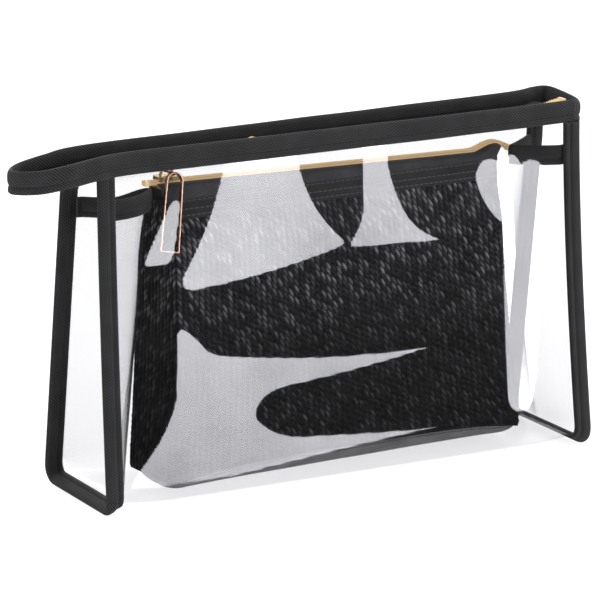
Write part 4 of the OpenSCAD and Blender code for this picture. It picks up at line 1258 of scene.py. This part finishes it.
class BuildStage(bpy.types.Operator):
    """Sets the pale floor, the soft studio lights and the camera"""

    bl_idname = "makeup_bag.stage"
    bl_label = "Stage"

    def execute(self, context):
        scene = context.scene
        scene.view_settings.view_transform = "Standard"
        scene.cycles.transparent_max_bounces = 40
        data = bpy.data.cameras.new("Camera")
        data.lens, data.sensor_width = 228.95, 36.0
        camera = bpy.data.objects.new("Camera", data)
        scene.collection.objects.link(camera)
        camera.location = (-0.8028, -1.4404, 0.4952)
        look = Vector((-0.01255, 0, 0.07858)) - camera.location
        camera.rotation_euler = look.to_track_quat("-Z", "Y").to_euler()
        scene.camera = camera
        # Floor: pale, lit, and bright enough of its own to stay nearly white under the bag
        floor_mesh = bpy.data.meshes.new("Floor")
        corner = np.array([[-6, -6, 0], [6, -6, 0], [6, 8, 0], [-6, 8, 0]], float)
        floor_mesh.from_pydata([tuple(c) for c in corner], [], [(0, 1, 2, 3)])
        floor = bpy.data.objects.new("Floor", floor_mesh)
        scene.collection.objects.link(floor)
        mat, tree, bsdf, out = material("Pale floor")
        bsdf.inputs["Base Color"].default_value = (0.6, 0.6, 0.6, 1)
        bsdf.inputs["Roughness"].default_value = 0.9
        bsdf.inputs["Emission Color"].default_value = (1, 1, 1, 1)
        bsdf.inputs["Emission Strength"].default_value = 0.86
        floor_mesh.materials.append(mat)
        floor.visible_glossy = False
        world = bpy.data.worlds.new("Studio")
        scene.world = world
        world.use_nodes = True
        tree = world.node_tree
        tree.nodes.clear()
        out = put(tree, "ShaderNodeOutputWorld", (800, 0))
        rays = put(tree, "ShaderNodeLightPath", (-400, 300))
        way = put(tree, "ShaderNodeTexCoord", (-800, 0)).outputs["Generated"]
        up = put(tree, "ShaderNodeSeparateXYZ", (-600, 0), Vector=way).outputs["Z"]
        sky = put(tree, "ShaderNodeMapRange", (-400, 0), Value=up, From_Min=0.0, From_Max=0.14, To_Min=0.02,
                  To_Max=0.85)
        glossy = put(tree, "ShaderNodeBackground", (0, -100), Strength=sky.outputs[0])
        fill = put(tree, "ShaderNodeBackground", (0, 100), Strength=0.55)
        seen = put(tree, "ShaderNodeBackground", (0, 300), Strength=1.05)
        first = put(tree, "ShaderNodeMixShader", (300, 0), i0=rays.outputs["Is Glossy Ray"],
                    i1=fill.outputs[0], i2=glossy.outputs[0])
        last = put(tree, "ShaderNodeMixShader", (500, 0), i0=rays.outputs["Is Camera Ray"],
                   i1=first.outputs[0], i2=seen.outputs[0])
        tree.links.new(last.outputs[0], out.inputs["Surface"])
        for name, azimuth, elevation, distance, width, height, radiance in (
            ("Key softbox", 27.8, 11.6, 4.0, 2.6, 1.5, 6.0),
            ("Overhead softbox", -20, 78, 2.2, 1.6, 1.2, 1.6),
            ("Left softbox", -105, 24, 3.0, 1.4, 1.6, 1.8),
            ("Back softbox", 160, 30, 3.0, 1.8, 1.4, 1.8),
        ):
            lamp = bpy.data.lights.new(name, "AREA")
            lamp.shape, lamp.size, lamp.size_y = "RECTANGLE", width, height
            lamp.energy = radiance * width * height * pi
            lamp.color = (0.95, 0.95, 1.0) if name == "Key softbox" else (1, 1, 1)
            obj = bpy.data.objects.new(name, lamp)
            scene.collection.objects.link(obj)
            a, e = radians(azimuth), radians(elevation)
            middle = Vector((0, 0, 0.07))
            obj.location = middle + distance * Vector((sin(a) * cos(e), -cos(a) * cos(e), sin(e)))
            obj.rotation_euler = (middle - obj.location).to_track_quat("-Z", "Y").to_euler()
            obj.visible_camera = False
        return {"FINISHED"}


STEPS = (BuildFinishes, BuildStage, BuildVinyl, BuildBindings, BuildOuterZip, BuildWovenPouch,
         BuildPouchCloth, BuildPullers)
GROUPS = {"bag_sizes": BagSizes, "pouch_sizes": PouchSizes, "zip_sizes": ZipSizes, "bag_finishes": Finishes}


class MakeupBagPanel(bpy.types.Panel):
    """Lists the bag's sizes, its finishes and the steps that build it"""

    bl_idname = "VIEW3D_PT_makeup_bag"
    bl_label = "Makeup Bag"
    bl_space_type = "VIEW_3D"
    bl_region_type = "UI"
    bl_category = "Makeup Bag"

    def draw(self, context):
        layout = self.layout
        for key, group in GROUPS.items():
            box = layout.box()
            for prop in group.__annotations__:
                box.prop(getattr(context.scene, key), prop)
        for step in STEPS:
            layout.operator(step.bl_idname)


def register():
    for cls in (*GROUPS.values(), *STEPS, MakeupBagPanel):
        bpy.utils.register_class(cls)
    for key, group in GROUPS.items():
        setattr(bpy.types.Scene, key, PointerProperty(type=group))


def unregister():
    for key in GROUPS:
        delattr(bpy.types.Scene, key)
    for cls in (MakeupBagPanel, *reversed(STEPS), *reversed(GROUPS.values())):
        bpy.utils.unregister_class(cls)


def main():
    register()
    for step in STEPS:
        group, name = step.bl_idname.split(".")
        getattr(getattr(bpy.ops, group), name)()
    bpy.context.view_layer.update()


if __name__ == "__main__":
    main()
